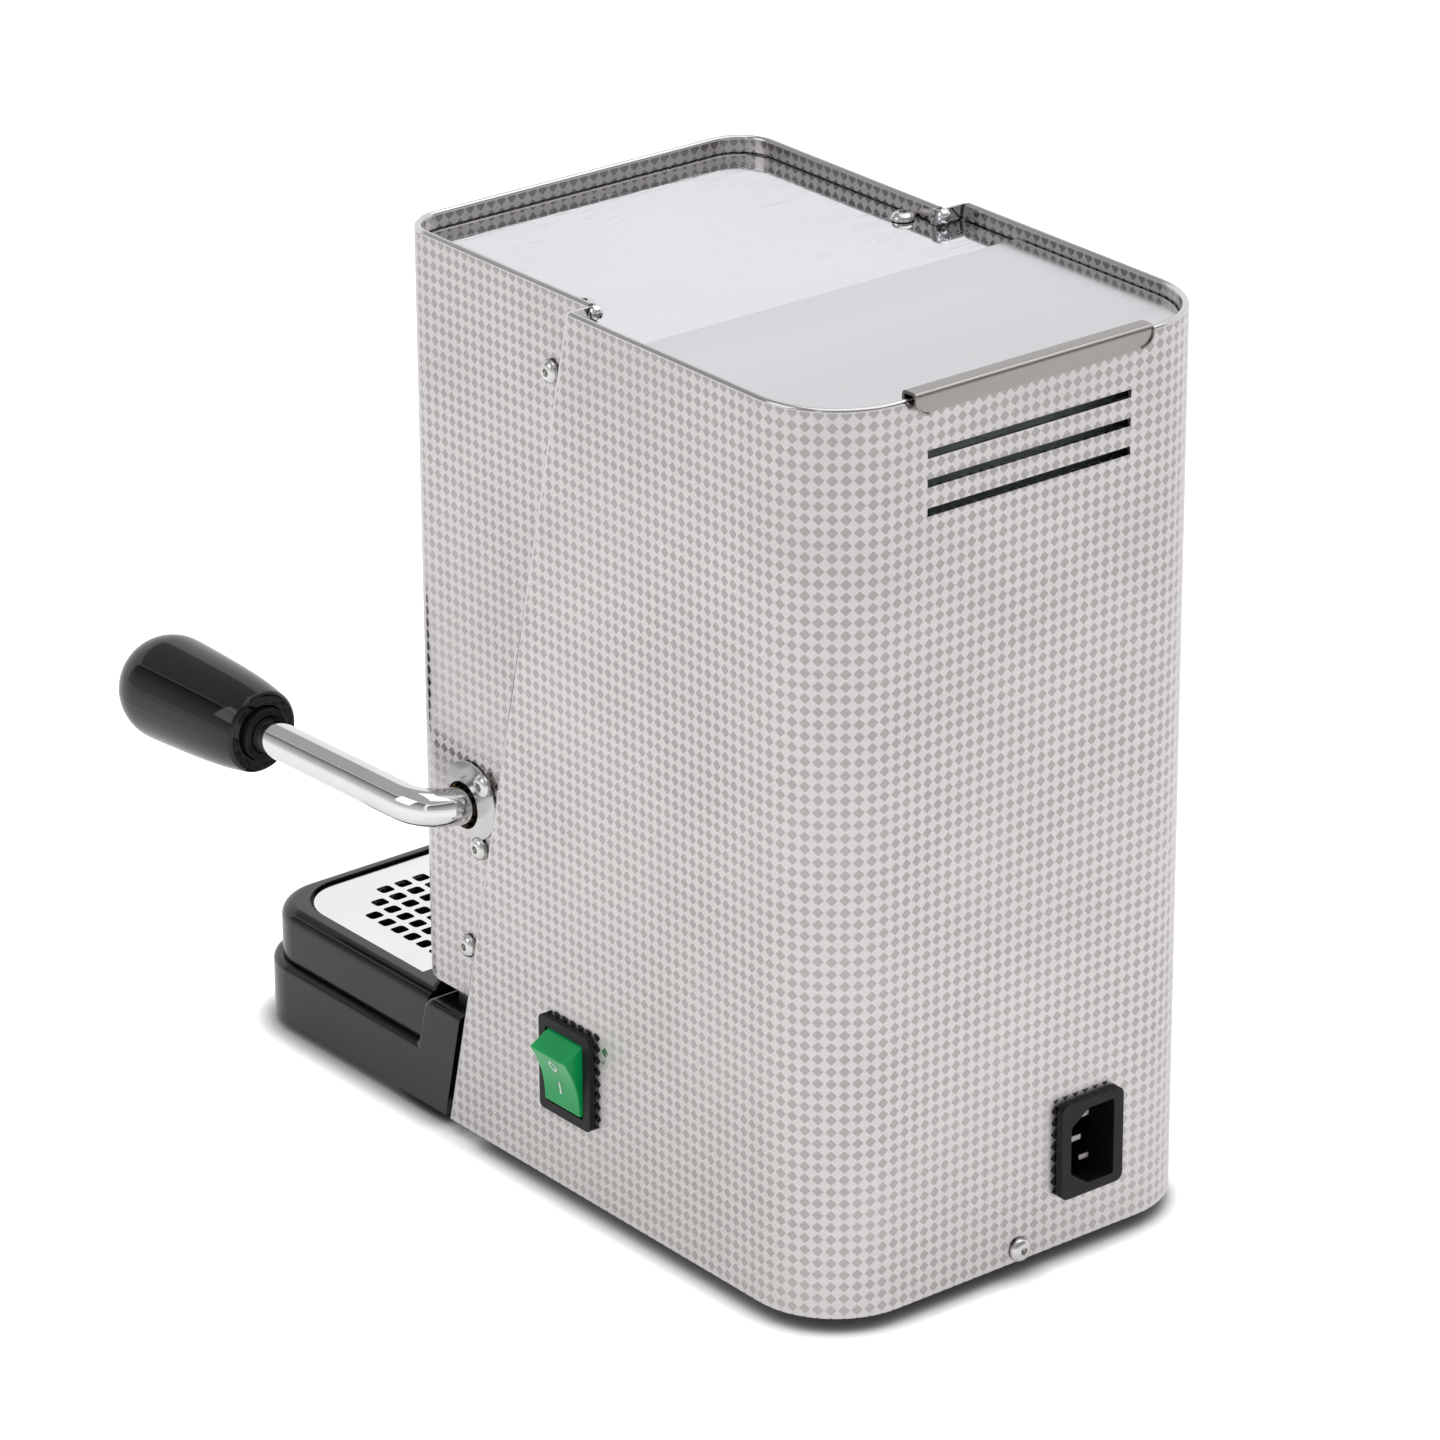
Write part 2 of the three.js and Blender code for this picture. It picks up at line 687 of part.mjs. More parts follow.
function buildDeck() {
  const rearPlan = shellSkin(
    rearHalf, frontFace, 0, rearCornerRadius - sheet - fit, sheet + fit, deckBottom, deckTop);
  const frontPlan = slab(outline([
    [sheet + fit - frontHalf, frontFace + sheet + fit, frontCornerRadius - sheet - fit],
    [frontHalf - sheet - fit, frontFace + sheet + fit, frontCornerRadius - sheet - fit],
    [frontHalf - sheet - fit, 0], [sheet + fit - frontHalf, 0]]), deckBottom, deckTop, 3);
  const neckFront = seamY(deckBottom, sheet + fit) - fit;
  const neckRear = seamY(deckTop, -sheet) + fit;
  const rearPart = cut(rearPlan, block(-cutReach, cutReach, -cutReach, neckRear, 0, cutReach));
  const frontPart = cut(frontPlan, block(-cutReach, cutReach, neckFront, cutReach, 0, cutReach));
  const neck = block(-frameOuter, frameOuter, neckFront - fit, neckRear + fit, deckBottom, deckTop);
  const opening = slab(rectangle(
    -tankHalfWidth - tankOpeningMargin, tankHalfWidth + tankOpeningMargin,
    -tankRear - tankDepth - tankOpeningMargin, -tankRear + tankOpeningMargin, tankCornerRadius),
  deckBottom - overrun, deckTop + overrun);
  const screwHoles = [-deckScrewHalfSpread, deckScrewHalfSpread].map((x) => (
    drum(screwHole, deckBottom - overrun, deckTop + overrun, 'z', [x, -deckScrewSetback, 0], hiddenSides)));
  place('top_deck', cut(joined(rearPart, neck, frontPart), opening, ...screwHoles), finishes.mirrorSteel);
}

function buildFasteners() {
  for (const [side, sign] of [['right', 1], ['left', -1]]) {
    for (const { label, height, ahead } of seamScrews) {
      const lift = side === 'right' && label === 'lever' ? fit + escutcheonThickness : 0;
      placeScrew(`seam_screw_${side}_${label}`, machineScrew,
        [sign * (frontHalf + fit + lift), seamY(height, ahead), height], [0, sign * rightAngle, 0]);
    }
    placeScrew(`deck_screw_${side}`, machineScrew,
      [sign * deckScrewHalfSpread, -deckScrewSetback, deckTop + fit], [0, 0, 0]);
    placeScrew(`rim_screw_${side}`, smallScrew,
      [sign * rimScrewX, rimScrewY, rimScrewHeight], [-rimScrewTilt, 0, 0]);
  }
  placeScrew('rear_screw', machineScrew, [0, fit, rearScrewHeight], [-rightAngle, 0, 0]);
}

// Plan of the base and tray: square rear, rounded front corners
function frontPlan(half, front, radius, rear) {
  return outline([[-half, front, radius], [half, front, radius], [half, rear], [-half, rear]]);
}

function buildBase() {
  const plan = frontPlan(baseHalf, -baseReach, baseCornerRadius, -seamRimSetback);
  const lower = slab(plan, baseBottom, baseLedgeHeight);
  const raised = slab(plan, baseBottom, baseRaisedHeight).intersect(behindSeam(raisedFrontAhead));
  const underside = slab(
    frontPlan(baseHalf - baseWall, -baseReach + baseWall, baseCornerRadius - baseWall, -seamRimSetback),
    -overrun, baseLedgeHeight - baseTopThickness).intersect(aheadOfSeam(raisedFrontAhead));
  const frameBay = block(-seamFlangeInnerHalf, seamFlangeInnerHalf, -cutReach, 0, baseFloorTop, cutReach)
    .intersect(behindSeam(raisedFrontAhead - baseCrossWall));
  const tongue = block(-frameOuter, frameOuter, -leverSetback - overrun, -baseTongueSetback,
    baseBottom, baseFloorTop);
  const bosses = [-footHalfSpread, footHalfSpread].map((x) => drum(baseFootBossRadius, baseBottom,
    baseLedgeHeight - fit, 'z', [x, -footFrontReach, 0], smallSides));
  const tub = cut(joined(lower, raised), behindSeam(baseSeamGap), underside, frameBay);
  place('base_tub', joined(tub, tongue, ...bosses), finishes.blackGloss);

  const feet = [
    ['front', -footFrontReach, baseBottom - fit],
    ['rear', -footRearReach, chassisFloorBottom - fit]];
  for (const [side, sign] of [['right', 1], ['left', -1]]) {
    for (const [end, y, height] of feet) {
      const profile = [[0, 0], [footTopRadius, 0], [footRadius, height / 2], [footRadius, height], [0, height]];
      place(`foot_${end}_${side}`, turned(profile, 'z', [sign * footHalfSpread, y, 0], 16), finishes.blackRubber);
    }
  }
}

function buildTray() {
  const body = new THREE.Group();
  machine.add(body);
  const plan = (inset, radius, frontInset = inset, rear = 0) => (
    frontPlan(trayHalf - inset, trayFront + frontInset, radius, rear));
  const outer = slab(plan(0, trayCornerRadius), trayBottom, trayRimHeight).intersect(aheadOfSeam(trayRearAhead));
  const seatRear = gridRear + fit - traySeatWidth;
  const hollow = slab(plan(trayWall, trayCornerRadius - trayWall),
    trayBottom + trayFloor, gridSeatHeight - traySeatThickness)
    .intersect(aheadOfSeam(trayRearAhead + trayWall));
  const mouth = slab(plan(trayRimWidth + traySeatWidth, gridCornerRadius - traySeatWidth,
    trayFrontRimWidth + traySeatWidth, seatRear), trayRimHeight / 2, cutReach);
  const recess = slab(plan(trayRimWidth, gridCornerRadius, trayFrontRimWidth, gridRear + fit),
    gridSeatHeight, cutReach);
  place('drip_tray', cut(outer, hollow, mouth, recess), finishes.blackGloss, body);

  const gridHalf = trayHalf - trayRimWidth - gridInset;
  const gridFront = trayFront + trayFrontRimWidth + gridInset;
  const plate = slab(frontPlan(gridHalf, gridFront, gridCornerRadius - gridInset, gridRear),
    gridBottom, gridBottom + gridThickness);
  const gridLength = gridRear - gridFront;
  const pitchAcross = gridHalf * gridPitchAcrossShare;
  const pitchAlong = gridLength * gridPitchAlongShare;
  const holeHalfAcross = pitchAcross * gridHoleAcrossShare / 2;
  const holeHalfAlong = pitchAlong * gridHoleAlongShare / 2;
  const holes = [];
  gridRowReaches.forEach((reach, row) => {
    const y = gridFront + gridLength * gridFrontRowShare + row * pitchAlong;
    for (let column = -reach; column <= reach; column += 1) {
      const x = column * pitchAcross;
      holes.push(block(x - holeHalfAcross, x + holeHalfAcross, y - holeHalfAlong, y + holeHalfAlong,
        gridSeatHeight, cutReach));
    }
  });
  place('drip_grid', cut(plate, wasm.Manifold.union(holes)), finishes.polishedSteel, body);
}

function buildChassis() {
  const plan = (inset, low, high) => slab(outline([
    [inset - rearHalf, -chassisFrontSetback], [rearHalf - inset, -chassisFrontSetback],
    [rearHalf - inset, -inset, rearCornerRadius - inset], [inset - rearHalf, -inset, rearCornerRadius - inset]]),
  low, high);
  const outerInset = sheet + fit;
  const pan = cut(
    plan(outerInset, chassisFloorBottom, chassisFloorBottom + chassisWallHeight),
    plan(outerInset + chassisThickness, chassisFloorTop, cutReach));
  const rearScrewHole = drum(screwHole, -screwLength - overrun, overrun, 'y', [0, 0, rearScrewHeight], hiddenSides);
  const open = block(-cutReach, cutReach, -cutReach, -chassisFrontSetback + overrun, chassisFloorTop, cutReach);
  place('chassis_floor', cut(pan, rearScrewHole, open), finishes.galvanisedSteel);

  const kneeFront = -frameFootFront;
  const bandRear = (height) => seamY(height, frameBandAhead);
  const bandFront = (height) => seamY(height, frameBandAhead + frameBandWidth);
  const strip = sideSlab(outline([
    [-frameFootRear, chassisFloorBottom], [bandRear(frameKneeHeight), frameKneeHeight],
    [bandRear(frameTop), frameTop], [bandFront(frameTop), frameTop],
    [kneeFront, frameKneeHeight], [kneeFront, chassisFloorBottom]]), frameInner, frameOuter);
  const leverPad = drum(frameLeverPadRadius, frameInner, frameOuter, 'x', [0, -leverSetback, leverHeight]);
  const foot = block(frameInner - frameFootWidth, frameOuter, -frameFootFront, -frameFootRear,
    chassisFloorBottom, chassisFloorTop);
  const tab = block(frameInner - frameTabWidth, frameOuter, bandFront(frameTop), bandRear(frameTop) - fit,
    frameTop - frameThickness, frameTop);
  const bushHole = drum(bushRadius + fit, -cutReach, cutReach, 'x', [0, -leverSetback, leverHeight]);
  const deckScrewHole = drum(screwHole, frameTop - frameThickness - overrun, frameTop + overrun, 'z',
    [deckScrewHalfSpread, -deckScrewSetback, 0], hiddenSides);
  const right = cut(joined(strip, leverPad, foot, tab), bushHole, deckScrewHole, ...seamScrewHoles());
  place('side_frame_right', right, finishes.galvanisedSteel);
  place('side_frame_left', mirrored(right), finishes.galvanisedSteel);
}

function buildLever() {
  const centre = [0, -leverSetback, leverHeight];
  const bushProfile = [
    [leverRodRadius + fit, 0], [bushFlangeRadius, 0], [bushFlangeRadius, bushFlangeThickness],
    [bushRadius, bushFlangeThickness], [bushRadius, bushFlangeThickness + fit + frameThickness + fit],
    [leverRodRadius + fit, bushFlangeThickness + fit + frameThickness + fit], [leverRodRadius + fit, 0]];
  const bushStart = frameInner - fit - bushFlangeThickness;
  const bush = turned(bushProfile, 'x', [bushStart, -leverSetback, leverHeight]);
  place('lever_bush_right', bush, finishes.brass);
  place('lever_bush_left', mirrored(bush), finishes.brass);

  const plate = drum(escutcheonRadius, frontHalf + fit, frontHalf + fit + escutcheonThickness, 'x',
    [0, escutcheonOffsetBack - leverSetback, leverHeight + escutcheonOffsetUp], wideSides);
  const rodHole = drum(leverHoleRadius, frontHalf, frontHalf + overrun, 'x', centre);
  const screwRelief = drum(screwHeadRadius + fit, frontHalf, frontHalf + overrun, 'x',
    [0, -seamScrewMiddleSetback, seamScrewMiddleHeight]);
  place('lever_escutcheon', cut(plate, rodHole, screwRelief, ...seamScrewHoles()), finishes.mirrorSteel);

  // The bent rod lies in a plane through the shaft that rises a little towards the front
  const lever = new THREE.Group();
  lever.position.copy(leverPivot);
  lever.rotation.x = -THREE.MathUtils.degToRad(leverRiseDegrees);
  machine.add(lever);
  const turn = rightAngle - THREE.MathUtils.degToRad(leverSplayDegrees);
  const section = new THREE.Shape().absarc(0, 0, leverRodRadius, 0, 2 * Math.PI, false);
  const bendPoints = Array.from({ length: 33 }, (_, index) => {
    const angle = turn * index / 32;
    return new THREE.Vector3(
      leverBendStart + leverBendRadius * Math.sin(angle), -leverBendRadius * (1 - Math.cos(angle)), 0);
  });
  const bend = solidOf(new THREE.ExtrudeGeometry(section, {
    steps: 9, bevelEnabled: false, curveSegments: 7, extrudePath: new THREE.CatmullRomCurve3(bendPoints) }));
  const bendEnd = bendPoints.at(-1);
  const shaft = drum(leverRodRadius, -leverLeftEnd, leverBendStart + fit, 'x', [0, 0, 0], 14);
  const armAngle = -turn - rightAngle;
  const along = (solid) => solid
    .rotate([0, 0, THREE.MathUtils.radToDeg(armAngle)])
    .translate([bendEnd.x, bendEnd.y, 0]);
  const armLength = leverArmLength + leverKnobGrip;
  const arm = along(drum(leverRodRadius, -fit, armLength, 'y', [0, 0, 0], 14));
  place('lever_rod', joined(shaft, bend, arm), finishes.polishedSteel, lever);

  const knobCentre = knobLength - knobRadius;
  const swell = knobSwellShares.map(([lengthShare, radiusShare]) => (
    [radiusShare * knobRadius, lengthShare * knobLength]));
  const dome = Array.from({ length: knobDomeSteps }, (_, step) => {
    const angle = rightAngle * step / knobDomeSteps;
    return [knobRadius * Math.cos(angle), knobCentre + knobRadius * Math.sin(angle)];
  });
  const knobProfile = [
    [0, leverKnobGrip + fit], [leverRodRadius + fit, leverKnobGrip + fit], [leverRodRadius + fit, ferruleRecess],
    [ferruleRadius + fit, ferruleRecess], [ferruleRadius + fit, 0], [knobMouthRadius - knobMouthChamfer, 0],
    [knobMouthRadius, knobMouthChamfer], ...swell, ...dome, [0, knobLength]];
  const knob = turned(knobProfile, 'y', [0, leverArmLength, 0], wideSides);
  place('lever_knob', along(knob), finishes.blackGloss, lever);
  const ferrule = ring(ferruleRadius, leverRodRadius + fit, leverArmLength + ferruleRecess - fit - ferruleLength,
    leverArmLength + ferruleRecess - fit, 'y', [0, 0, 0]);
  place('lever_ferrule', along(ferrule), finishes.blackPlastic, lever);

  // Cam: the radius falls evenly from the lobe to the hub over a quarter turn of the lever
  const hub = camLift - carrierDrop;
  const camOutline = [];
  for (let degrees = -180; degrees <= 180; degrees += 10) {
    let radius = hub;
    if (degrees >= 0 && degrees <= 90) radius = camLift - carrierDrop * degrees / 90;
    if (degrees < 0 && degrees > -camBackDegrees) radius = camLift + carrierDrop * degrees / camBackDegrees;
    const angle = rightAngle + THREE.MathUtils.degToRad(degrees);
    if (degrees < 180) camOutline.push([radius * Math.cos(angle), radius * Math.sin(angle)]);
  }
  const bore = drum(leverRodRadius + fit, -cutReach, cutReach, 'x', [0, 0, 0]);
  const cam = cut(sideSlab(outline(camOutline), -camWidth / 2, camWidth / 2), bore);
  const camMesh = place('lever_cam', cam, finishes.galvanisedSteel, machine);
  camMesh.position.copy(leverPivot);
}

function buildGroup() {
  const groupTop = groupBottom + groupHeight;
  const head = drum(groupRadius, groupBottom, groupTop, 'z', [0, groupY, 0], wideSides);
  const arm = block(-groupArmWidth / 2, groupArmWidth / 2, groupY, -groupArmSetback, groupArmBottom, groupTop);
  const inletBore = drum(spoutBoreRadius, groupBottom - overrun, groupArmBottom, 'z', [0, groupY, 0]);
  const pins = [-guidePinHalfSpread, guidePinHalfSpread];
  const pinHoles = pins.map((x) => drum(guidePinRadius + fit, groupArmBottom - overrun,
    groupArmBottom + guidePinGrip, 'z', [x, -guidePinSetback, 0], smallSides));
  place('group_head', cut(joined(head, arm), inletBore, ...pinHoles), finishes.polishedSteel);
  pins.forEach((x, index) => {
    place(`guide_pin_${index === 0 ? 'left' : 'right'}`,
      drum(guidePinRadius, carrierBottom - guidePinTail + overrun, groupArmBottom + guidePinGrip - fit, 'z',
        [x, -guidePinSetback, 0], smallSides), finishes.polishedSteel);
  });
  place('group_gasket', ring(gasketOuterRadius, gasketInnerRadius, groupBottom - fit - gasketThickness,
    groupBottom - fit, 'z', [0, groupY, 0], wideSides), finishes.rubberRed);
  place('shower_screen', drum(screenRadius, groupBottom - fit - screenThickness, groupBottom - fit, 'z',
    [0, groupY, 0]), finishes.satinSteel);

  const lipHalf = openingHalfWidth - fit;
  const lipOutline = (inset) => rectangle(inset - lipHalf, lipHalf - inset,
    openingBottom + fit + inset, openingTop - fit - inset, openingCorner - inset);
  const flangeGrow = collarFlangeWidth;
  const flange = frontSlab(lipOutline(-flangeGrow), frontFace - fit, frontFace - fit - collarThickness);
  const lip = frontSlab(lipOutline(0), frontFace + sheet + overrun, frontFace - fit);
  const through = frontSlab(lipOutline(collarLipThickness), frontFace + cutReach, frontFace - cutReach);
  place('group_collar', cut(joined(flange, lip), through), finishes.blackPlastic);

  const domePoints = boilerDomeShares.map(([radiusShare, heightShare]) => (
    [radiusShare * boilerRadius, heightShare * boilerHeight]));
  const boilerBottom = groupTop + fit;
  place('boiler', turned([[0, 0], [boilerRadius, 0], ...domePoints, [0, boilerHeight]], 'z',
    [0, -boilerSetback, boilerBottom]), finishes.brass);
  const thermostatProfile = [
    [0, 0], [thermostatFlangeRadius, 0], [thermostatFlangeRadius, thermostatFlangeThickness],
    [thermostatRadius, thermostatFlangeThickness], [thermostatRadius, thermostatHeight], [0, thermostatHeight]];
  place('thermostat', turned(thermostatProfile, 'z', [0, -boilerSetback, boilerBottom + boilerHeight + fit]),
    finishes.blackPlastic);
}

function buildCarrier() {
  const ringY = [0, groupY, 0];
  const cup = cut(
    drum(carrierRadius, carrierBottom, carrierTop, 'z', ringY, wideSides),
    drum(carrierSeatRadius, carrierTop - carrierSeatDepth, carrierTop + overrun, 'z', ringY, wideSides),
    drum(carrierSeatOutletRadius, carrierBottom - overrun, carrierTop, 'z', ringY));
  const armEnd = -leverSetback + carrierArmBehindShaft;
  const armBottom = carrierTop - carrierArmThickness;
  const arm = cut(
    block(-carrierArmWidth / 2, carrierArmWidth / 2, groupY + carrierSeatRadius + fit, armEnd, armBottom, carrierTop),
    ...[-guidePinHalfSpread, guidePinHalfSpread].map((x) => drum(guidePinRadius + fit, 0, cutReach, 'z',
      [x, -guidePinSetback, 0], smallSides)));
  const followerBottom = leverHeight + camLift + camFollowerGap;
  const follower = block(-camWidth / 2, camWidth / 2, -leverSetback - camFollowerWidth / 2,
    -leverSetback + camFollowerWidth / 2, followerBottom, armBottom);
  place('pod_carrier', joined(cup, arm, follower), finishes.polishedSteel);

  const spoutProfile = [
    [spoutBoreRadius, -spoutHeight], [spoutTipRadius, -spoutHeight], [spoutTopRadius, 0],
    [spoutBoreRadius, 0], [spoutBoreRadius, -spoutHeight]];
  place('pod_spout', turned(spoutProfile, 'z', [0, groupY, carrierBottom - fit]), finishes.polishedSteel);
}

function buildControls() {
  const floorDepth = buttonBarrelDepth - buttonBarrelFloor;
  const housingProfile = [
    [0, buttonBarrelDepth], [0, floorDepth],
    [buttonRadius + fit, floorDepth], [buttonRadius + fit, -buttonFlangeThickness],
    [buttonFlangeRadius, -buttonFlangeThickness], [buttonFlangeRadius, 0], [buttonBarrelRadius, 0],
    [buttonBarrelRadius, buttonBarrelDepth], [0, buttonBarrelDepth]];
  const housing = turned(housingProfile, 'y', [buttonOffset, frontFace - fit, controlHeight]);
  place('brew_button_housing', housing, finishes.blackPlastic);
  const buttonFront = frontFace - buttonStandOut;
  place('brew_button', drum(buttonRadius, buttonFront, buttonFront + buttonLength, 'y',
    [buttonOffset, 0, controlHeight]), finishes.polishedSteel);
  const lampProfile = [
    [0, -lampStandOut], [lampRadius / 2, -lampStandOut], [lampRadius, -lampStandOut / 2], [lampRadius, 0],
    [lampBarrelRadius, 0], [lampBarrelRadius, lampBarrelDepth], [0, lampBarrelDepth]];
  place('pilot_lamp', turned(lampProfile, 'y', [lampOffset, frontFace - fit, controlHeight]), finishes.amberLens);
}

function buildSwitch() {
  const centre = [-switchSetback, switchHeight];
  const around = (width, height, radius = 0) => rectangle(
    centre[0] - width / 2, centre[0] + width / 2, centre[1] - height / 2, centre[1] + height / 2, radius);
  const bezel = sideSlab(
    around(switchBezelWidth, switchBezelHeight, switchBezelCorner), rearHalf + fit, switchFace, 2);
  const barrel = sideSlab(around(switchBodyWidth, switchBodyHeight), rearHalf - switchBodyDepth, rearHalf + fit);
  const pitWidth = rockerWidth + 2 * rockerClearance;
  const mouth = sideSlab(around(pitWidth, 2 * (rockerHalfHeight + rockerClearance)),
    rearHalf, switchFace + overrun);
  const pit = sideSlab(around(pitWidth, 2 * (rockerHalfHeight + rockerSwing)),
    rearHalf - switchBodyDepth + switchBodyFloor, switchFace - switchBezelPlate);
  const pivotX = switchFace - rockerPivotDepth;
  const halfStub = rockerWidth / 2 + rockerPivotLength;
  const pivotHole = drum(rockerPivotRadius + fit, -halfStub - fit, halfStub + fit, 'y',
    [pivotX, -switchSetback, switchHeight], smallSides);
  place('switch_bezel', cut(joined(bezel, barrel), mouth, pit, pivotHole), finishes.blackPlastic);

  const rocker = new THREE.Group();
  rocker.position.set(pivotX, -switchSetback, switchHeight);
  rocker.rotation.y = THREE.MathUtils.degToRad(rockerTiltDegrees);
  machine.add(rocker);
  const ridgeRise = rockerRidgeReach - rockerValleyReach;
  const hollow = rockerCurveShares.map(([spreadShare, riseShare]) => (
    [rockerValleyReach + riseShare * ridgeRise, spreadShare * rockerRidgeHalfSpread]));
  const upperHalf = [
    ...hollow, [rockerRidgeReach, rockerRidgeHalfSpread], [rockerEdgeReach, rockerHalfHeight],
    [rockerShoulderReach, rockerShoulderHalfHeight], [-rockerHeelDepth, rockerHeelHalfHeight]];
  const lowerHalf = upperHalf.map(([reach, rise]) => [reach, -rise]).reverse();
  const shape = outline([[rockerValleyReach, 0], ...upperHalf, ...lowerHalf]);
  const body = frontSlab(shape, rockerWidth / 2, -rockerWidth / 2);
  const stub = drum(rockerPivotRadius, -halfStub, halfStub, 'y', [0, 0, 0], smallSides);
  place('switch_rocker', joined(body, stub), finishes.greenLens, rocker);
}

function buildInlet() {
  const around = (width, height, radius = 0) => rectangle(
    inletOffset - width / 2, inletOffset + width / 2, inletHeight - height / 2, inletHeight + height / 2, radius);
  const flange = frontSlab(around(inletFlangeWidth, inletFlangeHeight, inletFlangeCorner),
    fit + inletFlangeThickness, fit, 3);
  const barrel = frontSlab(around(inletBodyWidth, inletBodyHeight), fit, -inletBodyDepth);
  const [halfWidth, halfHeight] = [inletSocketWidth / 2, inletSocketHeight / 2];
  const socket = frontSlab(outline([
    [inletOffset - halfWidth, inletHeight - halfHeight],
    [inletOffset + halfWidth - inletSocketChamferWidth, inletHeight - halfHeight],
    [inletOffset + halfWidth, inletHeight - halfHeight + inletSocketChamferHeight],
    [inletOffset + halfWidth, inletHeight + halfHeight - inletSocketChamferHeight],
    [inletOffset + halfWidth - inletSocketChamferWidth, inletHeight + halfHeight],
    [inletOffset - halfWidth, inletHeight + halfHeight]]),
  fit + inletFlangeThickness + overrun, fit + inletFlangeThickness - inletSocketDepth);
  const pins = [
    ['live', inletPinPitch, -inletPinSetback],
    ['earth', 0, inletEarthOffset - inletPinSetback],
    ['neutral', -inletPinPitch, -inletPinSetback]];
  const pinBlock = (rise, shift, clearance, rear, front) => {
    const [x, z] = [inletOffset + shift, inletHeight + rise];
    const [halfX, halfZ] = [inletPinWidth / 2 + clearance, inletPinThickness / 2 + clearance];
    return block(x - halfX, x + halfX, rear, front, z - halfZ, z + halfZ);
  };
  const holes = pins.map(([, rise, shift]) => pinBlock(rise, shift, fit, -cutReach, -inletPinRecess));
  place('inlet_body', cut(joined(flange, barrel), socket, ...holes), finishes.blackPlastic);
  for (const [label, rise, shift] of pins) {
    place(`inlet_pin_${label}`,
      pinBlock(rise, shift, 0, -inletBodyDepth - inletPinTail, -inletPinRecess), finishes.polishedSteel);
  }
}

